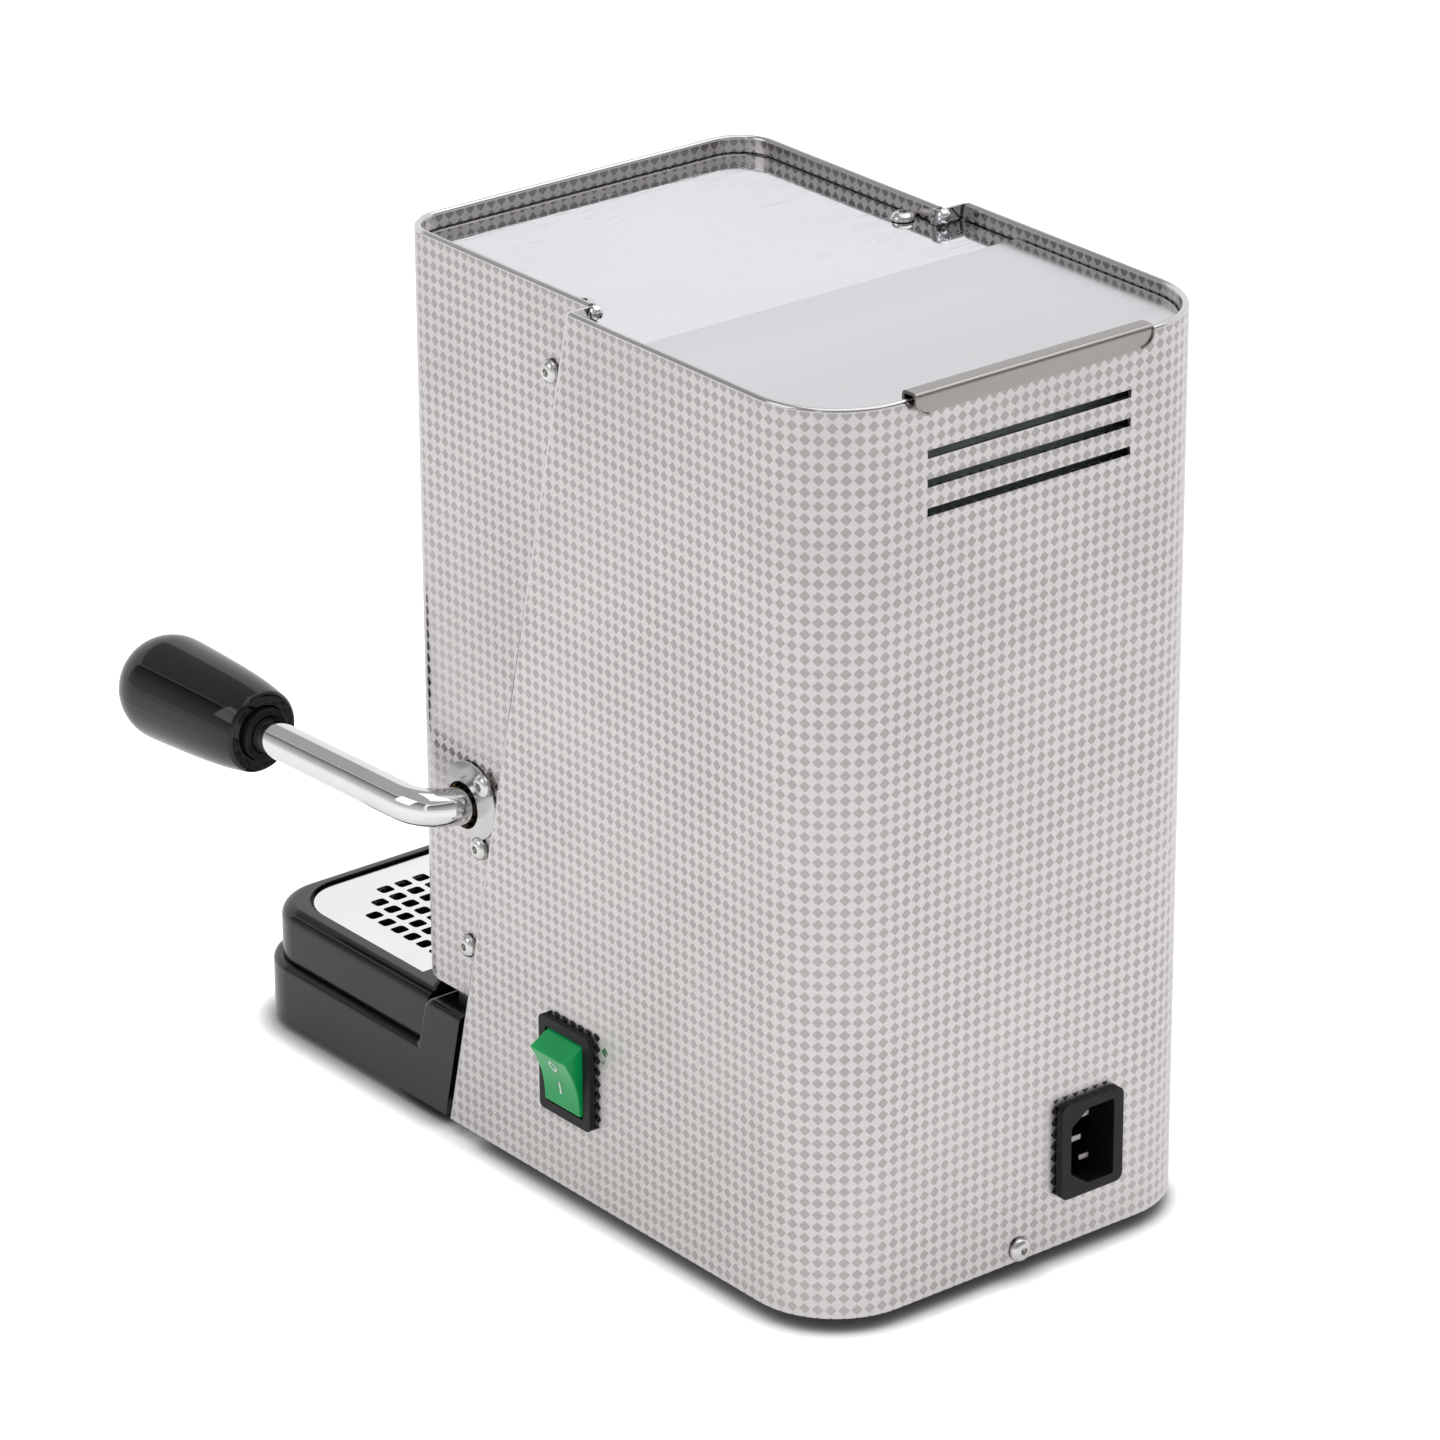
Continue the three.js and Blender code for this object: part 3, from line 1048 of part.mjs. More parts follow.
function buildWaterSystem() {
  const legTop = shelfTop;
  const footTop = chassisFloorTop + fit + shelfThickness;
  const legFoot = chassisFloorTop + fit;
  const profile = outline([
    [-shelfHalfWidth, legFoot],
    [shelfFootWidth - shelfHalfWidth, legFoot], [shelfFootWidth - shelfHalfWidth, footTop],
    [shelfThickness - shelfHalfWidth, footTop], [shelfThickness - shelfHalfWidth, shelfBottom],
    [shelfHalfWidth - shelfThickness, shelfBottom], [shelfHalfWidth - shelfThickness, footTop],
    [shelfHalfWidth - shelfFootWidth, footTop], [shelfHalfWidth - shelfFootWidth, legFoot],
    [shelfHalfWidth, legFoot], [shelfHalfWidth, legTop], [-shelfHalfWidth, legTop]]);
  const outlet = [tankOutletOffset, -tankOutletSetback, 0];
  const outletHole = drum(tankOutletRadius + slideFit, shelfBottom - overrun, shelfTop + overrun, 'z', outlet);
  place('tank_shelf', cut(frontSlab(profile, -shelfRear, -shelfRear - shelfDepth), outletHole),
    finishes.galvanisedSteel);

  const seatTop = shelfBottom - fit;
  const bore = tankOutletRadius + slideFit;
  const seatProfile = [
    [0, seatTop - seatCupDepth],
    [seatCupRadius, seatTop - seatCupDepth], [seatCupRadius, seatTop - seatFlangeThickness],
    [seatFlangeRadius, seatTop - seatFlangeThickness], [seatFlangeRadius, seatTop], [bore, seatTop],
    [bore, seatTop - seatCupDepth + seatCupFloor], [0, seatTop - seatCupDepth + seatCupFloor]];
  place('tank_valve_seat', turned(seatProfile, 'z', outlet), finishes.blackPlastic);

  const tankPlan = (inset) => rectangle(inset - tankHalfWidth, tankHalfWidth - inset,
    -tankRear - tankDepth + inset, -tankRear - inset, tankCornerRadius - inset);
  const spigot = drum(tankOutletRadius, tankBottom - tankOutletDrop, tankBottom + tankWall, 'z', outlet);
  const inside = slab(tankPlan(tankWall), tankBottom + tankWall, cutReach);
  const shell = cut(slab(tankPlan(0), tankBottom, tankTop), inside);
  place('water_tank', joined(shell, spigot), finishes.tankPlastic);

  const pumpCentre = [0, -pumpSetback, pumpHeight];
  const pumpProfile = [
    [0, -pumpHalfLength], [pumpNeckRadius, -pumpHalfLength], [pumpNeckRadius, -pumpCoilHalfLength],
    [pumpCoilRadius, -pumpCoilHalfLength], [pumpCoilRadius, pumpCoilHalfLength],
    [pumpNeckRadius, pumpCoilHalfLength], [pumpNeckRadius, pumpHalfLength], [0, pumpHalfLength]];
  place('pump', turned(pumpProfile, 'x', pumpCentre), finishes.blackPlastic);
  const bracketFoot = chassisFloorTop + fit;
  const bracketTop = pumpHeight + pumpNeckRadius + pumpBracketMargin;
  const inner = pumpBracketHalfWidth - pumpBracketThickness;
  const bracketProfile = outline([
    [-pumpBracketHalfWidth, bracketFoot], [pumpBracketHalfWidth, bracketFoot], [pumpBracketHalfWidth, bracketTop],
    [inner, bracketTop], [inner, bracketFoot + pumpBracketThickness], [-inner, bracketFoot + pumpBracketThickness],
    [-inner, bracketTop], [-pumpBracketHalfWidth, bracketTop]]);
  const bracketRear = -pumpSetback + pumpBracketDepth / 2;
  const bracket = cut(
    frontSlab(bracketProfile, bracketRear, bracketRear - pumpBracketDepth),
    drum(pumpNeckRadius + fit, -cutReach, cutReach, 'x', pumpCentre));
  place('pump_bracket', bracket, finishes.galvanisedSteel);
  const hoseTop = seatTop - seatCupDepth - fit;
  const hoseBow = pumpHalfLength + 2 * hoseRadius;
  place('suction_hose', sweptTube([
    [tankOutletOffset, -tankOutletSetback, hoseTop],
    [tankOutletOffset, -tankOutletSetback, hoseTop - hoseRadius],
    [hoseBow, -pumpSetback, (hoseTop + pumpHeight) / 2],
    [hoseBow + hoseRadius / 2, -pumpSetback, pumpHeight + hoseRadius],
    [pumpHalfLength + hoseRadius, -pumpSetback, pumpHeight],
    [pumpHalfLength + fit, -pumpSetback, pumpHeight]], hoseRadius, 16), finishes.hosePlastic);
  const tubeBow = pumpHalfLength + 4 * pressureTubeRadius;
  const boilerSide = groupBottom + groupHeight + fit + boilerHeight / 2;
  place('pressure_tube', sweptTube([
    [-pumpHalfLength - fit, -pumpSetback, pumpHeight],
    [-pumpHalfLength - 2 * pressureTubeRadius, -pumpSetback, pumpHeight],
    [-tubeBow, -pumpSetback - 4 * pressureTubeRadius, pumpHeight + 4 * pressureTubeRadius],
    [-tubeBow, -(pumpSetback + boilerSetback) / 2, (pumpHeight + boilerSide) / 2],
    [-tubeBow, -boilerSetback + 4 * pressureTubeRadius, boilerSide - pressureTubeRadius],
    [-boilerRadius - 2 * pressureTubeRadius, -boilerSetback, boilerSide],
    [-boilerRadius - fit, -boilerSetback, boilerSide]], pressureTubeRadius, 24, 3), finishes.copper);
}

function buildLid() {
  const plate = slab(outline([
    [-lidHalf, -lidFrontSetback], [lidHalf, -lidFrontSetback],
    [lidHalf, lidRear, rearCornerRadius - hemThickness - lidRimGap],
    [-lidHalf, lidRear, rearCornerRadius - hemThickness - lidRimGap]]), lidBottom, lidTop);
  const halfPull = rearFlatHalf - lidPullMargin;
  const riser = sideSlab(outline([
    [lidRear - lidThickness, lidBottom], [lidRear - lidThickness, pullTop, lidPullBend],
    [lidPullOverhang, pullTop, lidPullBend], [lidPullOverhang, pullTop - 2 * lidPullBend],
    [lidPullOverhang - lidThickness, pullTop - 2 * lidPullBend],
    [lidPullOverhang - lidThickness, pullTop - lidThickness, lidPullBend - lidThickness],
    [lidRear, pullTop - lidThickness, lidPullBend - lidThickness], [lidRear, lidBottom]]), -halfPull, halfPull);
  const pull = frontSlab(outline([
    [-halfPull, pullBottom, lidPullCornerRadius / 2], [halfPull, pullBottom, lidPullCornerRadius / 2],
    [halfPull, pullTop - lidPullBend], [-halfPull, pullTop - lidPullBend]]),
  lidPullOverhang, lidPullOverhang - lidThickness);
  place('tank_lid', joined(plate, riser, pull), finishes.satinSteel);
}

buildBase();
buildTray();
buildChassis();
buildFrontShell();
buildRearShell();
buildDeck();
buildLever();
buildGroup();
buildCarrier();
buildControls();
buildSwitch();
buildInlet();
buildWaterSystem();
buildLid();
buildFasteners();

// The machine stands on Z zero, with its box centred on X and Y zero
const footprint = new THREE.Box3().setFromObject(machine);
const middle = footprint.getCenter(new THREE.Vector3());
machine.position.set(-middle.x, -middle.y, -footprint.min.z);

export default machine;
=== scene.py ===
import math

import bmesh
import bpy
from bmesh.types import BMEdge, BMFace, BMVert
from mathutils import Matrix, Vector


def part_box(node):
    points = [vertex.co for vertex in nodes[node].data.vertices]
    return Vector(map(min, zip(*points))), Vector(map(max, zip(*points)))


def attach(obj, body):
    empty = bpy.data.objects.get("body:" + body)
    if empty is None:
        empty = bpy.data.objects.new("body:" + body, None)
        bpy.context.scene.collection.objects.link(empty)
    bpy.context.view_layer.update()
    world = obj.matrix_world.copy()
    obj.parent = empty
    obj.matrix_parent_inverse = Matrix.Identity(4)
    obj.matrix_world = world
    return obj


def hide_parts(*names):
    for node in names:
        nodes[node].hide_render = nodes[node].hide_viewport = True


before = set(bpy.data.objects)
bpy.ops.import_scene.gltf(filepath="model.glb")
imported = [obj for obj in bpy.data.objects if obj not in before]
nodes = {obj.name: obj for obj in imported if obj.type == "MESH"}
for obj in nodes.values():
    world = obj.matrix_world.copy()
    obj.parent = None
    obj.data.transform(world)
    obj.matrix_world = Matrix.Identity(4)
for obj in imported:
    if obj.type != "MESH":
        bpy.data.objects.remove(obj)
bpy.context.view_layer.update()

# Sizes are millimetres on the body: X across, Y backwards with 0 at the rear face, Z up from the table
shellLow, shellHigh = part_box("rear_shell")
bodyPlace = Vector(((shellLow[0] + shellHigh[0]) / 2, shellHigh[1], 0))
toFrame = Matrix.Translation(bodyPlace) @ Matrix.Scale(0.001, 4)

seam = {"foot": 181.82, "angle": math.radians(13.03)}
lean = math.tan(seam["angle"])
hair = 0.01  # a point this near to a plane counts as lying in it
quarter = math.pi / 2
layAcross = Matrix.Rotation(quarter, 4, "Y")
print("frame loaded")


def seamY(height, ahead=0):
    return lean * height - seam["foot"] - ahead


# mesh helpers

def only(kind, items):
    return [item for item in items if isinstance(item, kind)]


def edgesBetween(bm, verts):
    chosen = set(verts)
    return [edge for edge in bm.edges if edge.verts[0] in chosen and edge.verts[1] in chosen]


def circleEdges(bm, radius, segments, place=Matrix.Identity(4)):
    made = bmesh.ops.create_circle(bm, cap_ends=False, radius=radius, segments=segments, matrix=place)
    return edgesBetween(bm, made["verts"])


def fillFlat(bm, edges, normal=(0, 0, 1)):
    made = bmesh.ops.triangle_fill(bm, edges=edges, use_beauty=True, normal=normal)
    return only(BMFace, made["geom"])


def carry(bm, edges, x=0, y=0, z=0):
    # extrudes edges in a straight line and gives the ones at its end
    made = only(BMVert, bmesh.ops.extrude_edge_only(bm, edges=edges)["geom"])
    bmesh.ops.translate(bm, verts=made, vec=(x, y, z))
    return edgesBetween(bm, made)


def sweep(bm, edges, centre, axis, angle, steps):
    # carries edges round a centre and gives the ones at the end of the turn
    ends = list(dict.fromkeys(vert for edge in edges for vert in edge.verts))
    made = bmesh.ops.spin(bm, geom=ends + edges, cent=centre, axis=axis, angle=angle, steps=steps,
                          use_merge=False, use_duplicate=False)
    return only(BMEdge, made["geom_last"])


def loopEdges(bm, corners, height):
    # corners are (x, y, radius, steps); the edges of their rounded outline lie at one height
    verts = [bm.verts.new((corner[0], corner[1], height)) for corner in corners]
    bm.faces.new(verts)
    ring = set(verts)
    for vert, corner in zip(verts, corners):
        if len(corner) > 2 and corner[2] > 0:
            made = bmesh.ops.bevel(bm, geom=[vert], offset=corner[2], offset_type="OFFSET",
                                   segments=corner[3], profile=0.5, affect="VERTICES", material=-1)
            ring.discard(vert)
            ring.update(made["verts"])
    edges = edgesBetween(bm, [vert for vert in ring if vert.is_valid])
    face = next(face for face in edges[0].link_faces if set(face.verts) <= ring)
    bmesh.ops.delete(bm, geom=[face], context="FACES_ONLY")
    return edges


def plateFace(bm, corners, height, holes=()):
    # one flat sheet with rounded corners, and with holes where they are given
    edges = loopEdges(bm, corners, height)
    for hole in holes:
        edges += loopEdges(bm, hole, height)
    return fillFlat(bm, edges)


def rectCorners(x0, x1, y0, y1, radius=0, steps=6):
    return [(x, y, radius, steps) for x, y in ((x0, y0), (x1, y0), (x1, y1), (x0, y1))]


def centredCorners(wide, tall, radius=0, steps=3):
    return rectCorners(-wide / 2, wide / 2, -tall / 2, tall / 2, radius, steps)


def frontCorners(half, front, rear, radius, steps=12):
    return [(-half, front, radius, steps), (half, front, radius, steps), (half, rear), (-half, rear)]


def lift(bm, faces, x=0, y=0, z=0):
    verts = only(BMVert, bmesh.ops.extrude_face_region(bm, geom=faces)["geom"])
    bmesh.ops.translate(bm, verts=verts, vec=(x, y, z))
    return verts


def liftOff(bm, faces, height, y, z):
    # lifts faces and deletes what stays behind at their old height
    lift(bm, faces, y=y, z=z)
    left = [face for face in faces if face.is_valid and abs(face.calc_center_median().z - height) < hair]
    bmesh.ops.delete(bm, geom=left, context="FACES")
    return outward(bm)


def plate(corners, low, high, holes=()):
    bm = bmesh.new()
    lift(bm, plateFace(bm, corners, low, holes), z=high - low)
    return outward(bm)


def outward(bm):
    bmesh.ops.remove_doubles(bm, verts=bm.verts, dist=0.0005)
    bmesh.ops.recalc_face_normals(bm, faces=bm.faces)
    return bm


def soften(bm, width, steps=3, where=None, angle=40):
    # rounds the edges sharper than an angle, or those of them that a test picks
    limit = math.radians(angle)
    edges = [edge for edge in bm.edges if len(edge.link_faces) == 2 and edge.calc_face_angle(0) > limit]
    if where:
        edges = [edge for edge in edges if where((edge.verts[0].co + edge.verts[1].co) / 2, edge)]
    bmesh.ops.bevel(bm, geom=edges, offset=width, offset_type="OFFSET", segments=steps, profile=0.5,
                    affect="EDGES", material=-1, clamp_overlap=True)
    return bm


def above(height):
    # a test for soften: edges whose middle lies at this height or higher
    return lambda middle, edge: middle.z > height - hair


def turned(profile, steps=48, rounding=0, roundSteps=2, angle=25):
    # profile of (radius, distance) spun about Z, then its ring edges rounded
    bm = bmesh.new()
    verts = [bm.verts.new((radius, 0, distance)) for radius, distance in profile]
    edges = [bm.edges.new(pair) for pair in zip(verts, verts[1:])]
    bmesh.ops.spin(bm, geom=verts + edges, cent=(0, 0, 0), axis=(0, 0, 1), angle=2 * math.pi,
                   steps=steps, use_merge=True, use_duplicate=False)
    outward(bm)
    if rounding:
        soften(bm, rounding, roundSteps,
               lambda middle, edge: abs(edge.verts[0].co.z - edge.verts[1].co.z) < 0.001, angle)
    return bm


def dome(radius, rise, base, steps):
    # quarter arc from the side up to just short of the axis
    return [(radius * math.cos(quarter * step / steps), base + rise * math.sin(quarter * step / steps))
            for step in range(steps)]


def moved(bm, matrix):
    bmesh.ops.transform(bm, matrix=matrix, verts=bm.verts)
    return bm


def shifted(bm, x=0, y=0, z=0):
    return moved(bm, Matrix.Translation((x, y, z)))


def toFront(bm, x, y, z):
    # a shape made along +Z points out of the front
    return moved(bm, Matrix.Translation((x, y, z)) @ Matrix.Rotation(quarter, 4, "X"))


def stoodUp(bm, x=0, z=0):
    # a shape drawn flat stands up, with its thickness running backwards
    moved(bm, Matrix(((1, 0, 0, x), (0, 0, 1, 0), (0, 1, 0, z), (0, 0, 0, 1))))
    bmesh.ops.reverse_faces(bm, faces=bm.faces)
    return bm


def addMesh(bm, other, material=0):
    # joins a second mesh into the first one, with its own material
    for face in other.faces:
        face.material_index = material
    spare = bpy.data.meshes.new("spare")
    other.to_mesh(spare)
    other.free()
    bm.from_mesh(spare)
    bpy.data.meshes.remove(spare)
    return bm


def cutAlong(bm, point, normal, faces=None, keepBehind=False):
    chosen = list(bm.faces) if faces is None else faces
    geom = set(chosen)
    for face in chosen:
        geom.update(face.verts)
        geom.update(face.edges)
    bmesh.ops.bisect_plane(bm, geom=list(geom), dist=0.0001, plane_co=point, plane_no=normal,
                           clear_outer=keepBehind, clear_inner=False)


def closeEnds(bm):
    bmesh.ops.holes_fill(bm, edges=[edge for edge in bm.edges if edge.is_boundary], sides=0)
    return outward(bm)


def openWindow(bm, wallAxis, low, high):
    # cuts a box-shaped window through a wall of sheet; the box runs past both faces of the wall
    for axis in range(3):
        if axis == wallAxis:
            continue
        for place in (low[axis], high[axis]):
            touching = [face for face in bm.faces
                        if all(min(v.co[i] for v in face.verts) < high[i] - 0.001
                               and max(v.co[i] for v in face.verts) > low[i] + 0.001 for i in range(3))]
            point, normal = [0, 0, 0], [0, 0, 0]
            point[axis], normal[axis] = place, 1
            cutAlong(bm, point, normal, touching)
    gone = [face for face in bm.faces
            if all(low[i] <= face.calc_center_median()[i] <= high[i] for i in range(3))]
    bmesh.ops.delete(bm, geom=gone, context="FACES")
    return [edge for edge in bm.edges if edge.is_boundary
            and all(low[i] - hair <= v.co[i] <= high[i] + hair for v in edge.verts for i in range(3))]


def rectWindow(bm, wallAxis, low, high):
    bmesh.ops.bridge_loops(bm, edges=openWindow(bm, wallAxis, low, high))


def roundWindow(bm, centre, radius, wallAxis, outer, inner, steps=40):
    # a square window, filled again up to a round hole on both faces of the sheet
    low, high = [value - radius - 1.5 for value in centre], [value + radius + 1.5 for value in centre]
    low[wallAxis], high[wallAxis] = min(outer, inner) - 0.5, max(outer, inner) + 0.5
    rim = openWindow(bm, wallAxis, low, high)
    circles = []
    for face in (outer, inner):
        spot, normal = list(centre), [0, 0, 0]
        spot[wallAxis], normal[wallAxis] = face, 1
        circle = circleEdges(bm, radius, steps,
                             Matrix.Translation(spot) @ Matrix.Rotation(quarter, 4, "YX"[wallAxis]))
        square = [edge for edge in rim
                  if edge.is_valid and all(abs(v.co[wallAxis] - face) < hair for v in edge.verts)]
        fillFlat(bm, circle + square, normal)
        circles += circle
    bmesh.ops.bridge_loops(bm, edges=[edge for edge in circles if edge.is_boundary])


def finished(bm, body, node, slotName, *labels, place=Matrix.Identity(4), unroll=None, name=None):
    # turns a mesh in body millimetres into the piece that stands for a CAD node
    for face in bm.faces:
        face.smooth = True
    if unroll:
        layer = bm.loops.layers.uv.new("sheet")
        for face in bm.faces:
            for loop in face.loops:
                loop[layer].uv = unroll(loop.vert.co)
    moved(bm, toFrame @ place)
    first, *words = node.split("_")
    name = name or first + "".join(word.title() for word in words)
    mesh = bpy.data.meshes.new(name)
    bm.to_mesh(mesh)
    bm.free()
    mesh.set_sharp_from_angle(angle=math.radians(32))
    for label in labels:
        mesh.materials.append(finish[label])
    piece = bpy.data.objects.new(name, mesh)
    bpy.context.scene.collection.objects.link(piece)
    weighted = piece.modifiers.new("evenNormals", "WEIGHTED_NORMAL")
    weighted.keep_sharp = True
    weighted.weight = 100
    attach(piece, body)
    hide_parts(node)


# node groups and materials

def feed(tree, node, values):
    # links a socket where one is given, and sets a plain value otherwise
    for key, value in values.items():
        if isinstance(value, bpy.types.NodeSocket):
            tree.links.new(value, node.inputs[key])
        else:
            node.inputs[key].default_value = value


def addNode(tree, kind, values=None, **settings):
    node = tree.nodes.new("ShaderNode" + kind)
    for key, value in settings.items():
        setattr(node, key, value)
    feed(tree, node, values or {})
    return node


def addMath(tree, operation, *values, clamp=False):
    node = addNode(tree, "Math", dict(enumerate(values)), operation=operation, use_clamp=clamp)
    return node.outputs[0]


def addRange(tree, value, low, high, toLow=0.0, toHigh=1.0):
    values = {"Value": value, "From Min": low, "From Max": high, "To Min": toLow, "To Max": toHigh}
    return addNode(tree, "MapRange", values).outputs["Result"]


def mixTones(tree, mask, first, second):
    first, second = ((*tone, 1) if isinstance(tone, tuple) else tone for tone in (first, second))
    return addNode(tree, "Mix", {"Factor": mask, "A": first, "B": second}, data_type="RGBA").outputs["Result"]


def startGroup(name, inputs, outputs):
    # an input without a value is a vector
    group = bpy.data.node_groups.new(name, "ShaderNodeTree")
    for label, value in inputs.items():
        kind = "NodeSocketVector" if value is None else "NodeSocketFloat"
        socket = group.interface.new_socket(label, in_out="INPUT", socket_type=kind)
        if value is not None:
            socket.default_value = value
    for label in outputs:
        group.interface.new_socket(label, in_out="OUTPUT", socket_type="NodeSocketFloat")
    return group, group.nodes.new("NodeGroupInput").outputs, group.nodes.new("NodeGroupOutput")


def makeSurfaceGrain():
    # fine grain, broad smears and thin scratches that the finishes share
    group, given, end = startGroup(
        "surfaceGrain", {"Vector": None, "Grain Scale": 2000.0, "Smear Scale": 18.0, "Scratch Scale": 60.0},
        ("Grain", "Smears", "Scratches", "Height"))
    even = given["Vector"]
    stretch = {"Vector": even, "Rotation": (0.4, 0.3, 0.7), "Scale": (1, 34, 34)}
    long = addNode(group, "Mapping", stretch).outputs[0]
    grain, smears, scratches = (
        addNode(group, "TexNoise", {"Vector": vector, "Scale": given[label], "Detail": detail,
                                    "Distortion": distortion}).outputs["Fac"]
        for label, vector, detail, distortion in
        (("Grain Scale", even, 3, 0), ("Smear Scale", even, 4, 0.6), ("Scratch Scale", long, 2, 0)))
    thin = addRange(group, scratches, 0.63, 0.72)
    height = addMath(group, "SUBTRACT", grain, addMath(group, "MULTIPLY", thin, 0.5))
    feed(group, end, {"Grain": grain, "Smears": addRange(group, smears, 0.35, 0.7), "Scratches": thin,
                      "Height": height})
    return group


def makeDiamondSheet():
    # squares standing on their corners over an unrolled sheet: every other one dark, the rest hatched
    # topToFoot gives the heights where the painted light by height starts and ends
    sizes = {"squareness": 8.0, "edge": (0.475, 0.44), "hatchScale": 0.7, "patchScale": 0.02,
             "topToFoot": (290, 10)}
    group, given, end = startGroup("diamondSheet", {"Sheet": None, "Cell": 3.5},
                                   ("Diamond", "Hatch", "Patch", "Lower"))
    turn = addNode(group, "Mapping", {"Vector": given["Sheet"], "Rotation": (0, 0, math.pi / 4)}).outputs[0]
    scale = addMath(group, "DIVIDE", 1.0, given["Cell"])
    checks = addNode(group, "TexChecker", {"Vector": turn, "Scale": scale}).outputs["Fac"]
    scaled = addNode(group, "VectorMath", {0: turn, "Scale": scale}, operation="SCALE").outputs[0]
    parts = addNode(group, "SeparateXYZ", {0: scaled}).outputs
    power = []
    for axis in (0, 1):
        middle = addMath(group, "SUBTRACT", addMath(group, "FRACT", parts[axis]), 0.5)
        power.append(addMath(group, "POWER", addMath(group, "ABSOLUTE", middle), sizes["squareness"]))
    rounded = addMath(group, "POWER", addMath(group, "ADD", *power), 1 / sizes["squareness"])
    inside = addRange(group, rounded, *sizes["edge"])
    dark = addMath(group, "MULTIPLY", addMath(group, "SUBTRACT", 1.0, checks), inside)
    hatch = {"Vector": turn, "Scale": sizes["hatchScale"], "Distortion": 0.3, "Detail": 1}
    lines = addNode(group, "TexWave", hatch, wave_type="BANDS", bands_direction="X")
    patch = addNode(group, "TexNoise", {"Vector": given["Sheet"], "Scale": sizes["patchScale"], "Detail": 3})
    # painted light by height: 0 at the top of the sheet, 1 at its foot
    height = addNode(group, "SeparateXYZ", {0: given["Sheet"]}).outputs[1]
    feed(group, end, {"Diamond": addMath(group, "SUBTRACT", 1.0, dark), "Hatch": lines.outputs["Fac"],
                      "Patch": addRange(group, patch.outputs["Fac"], 0.35, 0.65),
                      "Lower": addRange(group, height, *sizes["topToFoot"])})
    return group


surfaceGrain = makeSurfaceGrain()
diamondSheet = makeDiamondSheet()


def startMaterial(name):
    material = bpy.data.materials.new(name)
    material.use_nodes = True
    tree = material.node_tree
    return material, tree, tree.nodes["Principled BSDF"]


def useGrain(tree, grainScale, smearScale, stretch=None):
    place = addNode(tree, "TexCoord").outputs["Object"]
    if stretch:
        place = addNode(tree, "Mapping", {"Vector": place, "Scale": stretch}).outputs[0]
    values = {"Vector": place, "Grain Scale": grainScale, "Smear Scale": smearScale}
    return addNode(tree, "Group", values, node_tree=surfaceGrain).outputs


def addBump(tree, height, distance, strength=1.0):
    values = {"Strength": strength, "Distance": distance, "Height": height}
    return addNode(tree, "Bump", values).outputs["Normal"]


def makeFinish(name, light, dark, rough, metallic, grainScale, smearScale, bump, scratchLift):
    # two tones, a range of roughness and a fine relief, all moved by the same grain
    material, tree, shader = startMaterial(name)
    grain = useGrain(tree, grainScale, smearScale, brushed.get(name))
    uneven = addMath(tree, "ADD", addMath(tree, "MULTIPLY", grain["Grain"], 0.5),
                     addMath(tree, "MULTIPLY", grain["Smears"], 0.5))
    wear = addMath(tree, "MULTIPLY", grain["Scratches"], scratchLift)
    feed(tree, shader, {
        "Base Color": mixTones(tree, grain["Smears"], light, dark),
        "Roughness": addMath(tree, "ADD", addRange(tree, uneven, 0.2, 0.8, *rough), wear),
        "Normal": addBump(tree, grain["Height"], bump), "Metallic": metallic, **plasticExtras.get(name, {})})
    return material


def makeDiamondSteel():
    # lower is the painted light by height: the tone added at the sheet's top and at its foot
    sizes = {"cell": 2.722, "lightTone": (0.65, 0.625, 0.62), "darkTone": (0.37, 0.353, 0.348), "hatch": 0.22,
             "patch": 0.16, "lower": (-0.12, 0.14), "rough": (0.13, 0.36), "smears": 0.05, "scratches": 0.04}
    material, tree, shader = startMaterial("diamondSteel")
    sheet = addNode(tree, "UVMap", uv_map="sheet").outputs["UV"]
    pattern = addNode(tree, "Group", {"Sheet": sheet, "Cell": sizes["cell"]}, node_tree=diamondSheet).outputs
    grain = useGrain(tree, 1800.0, 14.0)
    relief = addMath(tree, "MULTIPLY", pattern["Hatch"], pattern["Diamond"])
    tone = addMath(tree, "SUBTRACT", pattern["Diamond"], addMath(tree, "MULTIPLY", relief, sizes["hatch"]))
    # random patches, plus painted light by height: painted shade at the top, painted floor reflection towards
    # the foot
    uneven = addMath(tree, "ADD", addMath(tree, "MULTIPLY", pattern["Patch"], sizes["patch"]),
                     addRange(tree, pattern["Lower"], 0, 1, *sizes["lower"]))
    tone = addMath(tree, "ADD", tone, uneven, clamp=True)
    rough = addRange(tree, pattern["Diamond"], 0, 1, *sizes["rough"])
    for label in ("Smears", "Scratches"):
        rough = addMath(tree, "ADD", rough, addMath(tree, "MULTIPLY", grain[label], sizes[label.lower()]))
    feed(tree, shader, {"Base Color": mixTones(tree, tone, sizes["darkTone"], sizes["lightTone"]),
                        "Roughness": rough, "Normal": addBump(tree, relief, 0.00001, 0.6), "Metallic": 1})
    return material


def makeLens(name, deep, bright, glow):
    # dyed clear plastic with a painted sheen and a painted glow: its colour and glow grow brighter along its
    # grazing edges
    material, tree, shader = startMaterial(name)
    grain = useGrain(tree, 900.0, 90.0)
    # painted sheen: the facing weight lightens the colour towards grazing edges
    edge = addNode(tree, "LayerWeight", {"Blend": 0.35}).outputs["Facing"]
    mask = addMath(tree, "ADD", edge, addMath(tree, "MULTIPLY", grain["Smears"], 0.35), clamp=True)
    # painted glow: the lens gives off its own colour, scaled by glow, though no lamp inside lights it
    paintedGlowTones = [tuple(channel * glow for channel in tone) for tone in (deep, bright)]
    feed(tree, shader, {
        "Base Color": mixTones(tree, mask, deep, bright), "Emission Color": mixTones(tree, mask, *paintedGlowTones),
        "Roughness": addRange(tree, grain["Grain"], 0.2, 0.8, 0.14, 0.24),
        "Normal": addBump(tree, grain["Height"], 0.00001), "Subsurface Weight": 0.25,
        "Subsurface Radius": (0.2, 1.0, 0.4), "Subsurface Scale": 0.003, "Specular IOR Level": 0.36,
        "Emission Strength": 1})
    return material


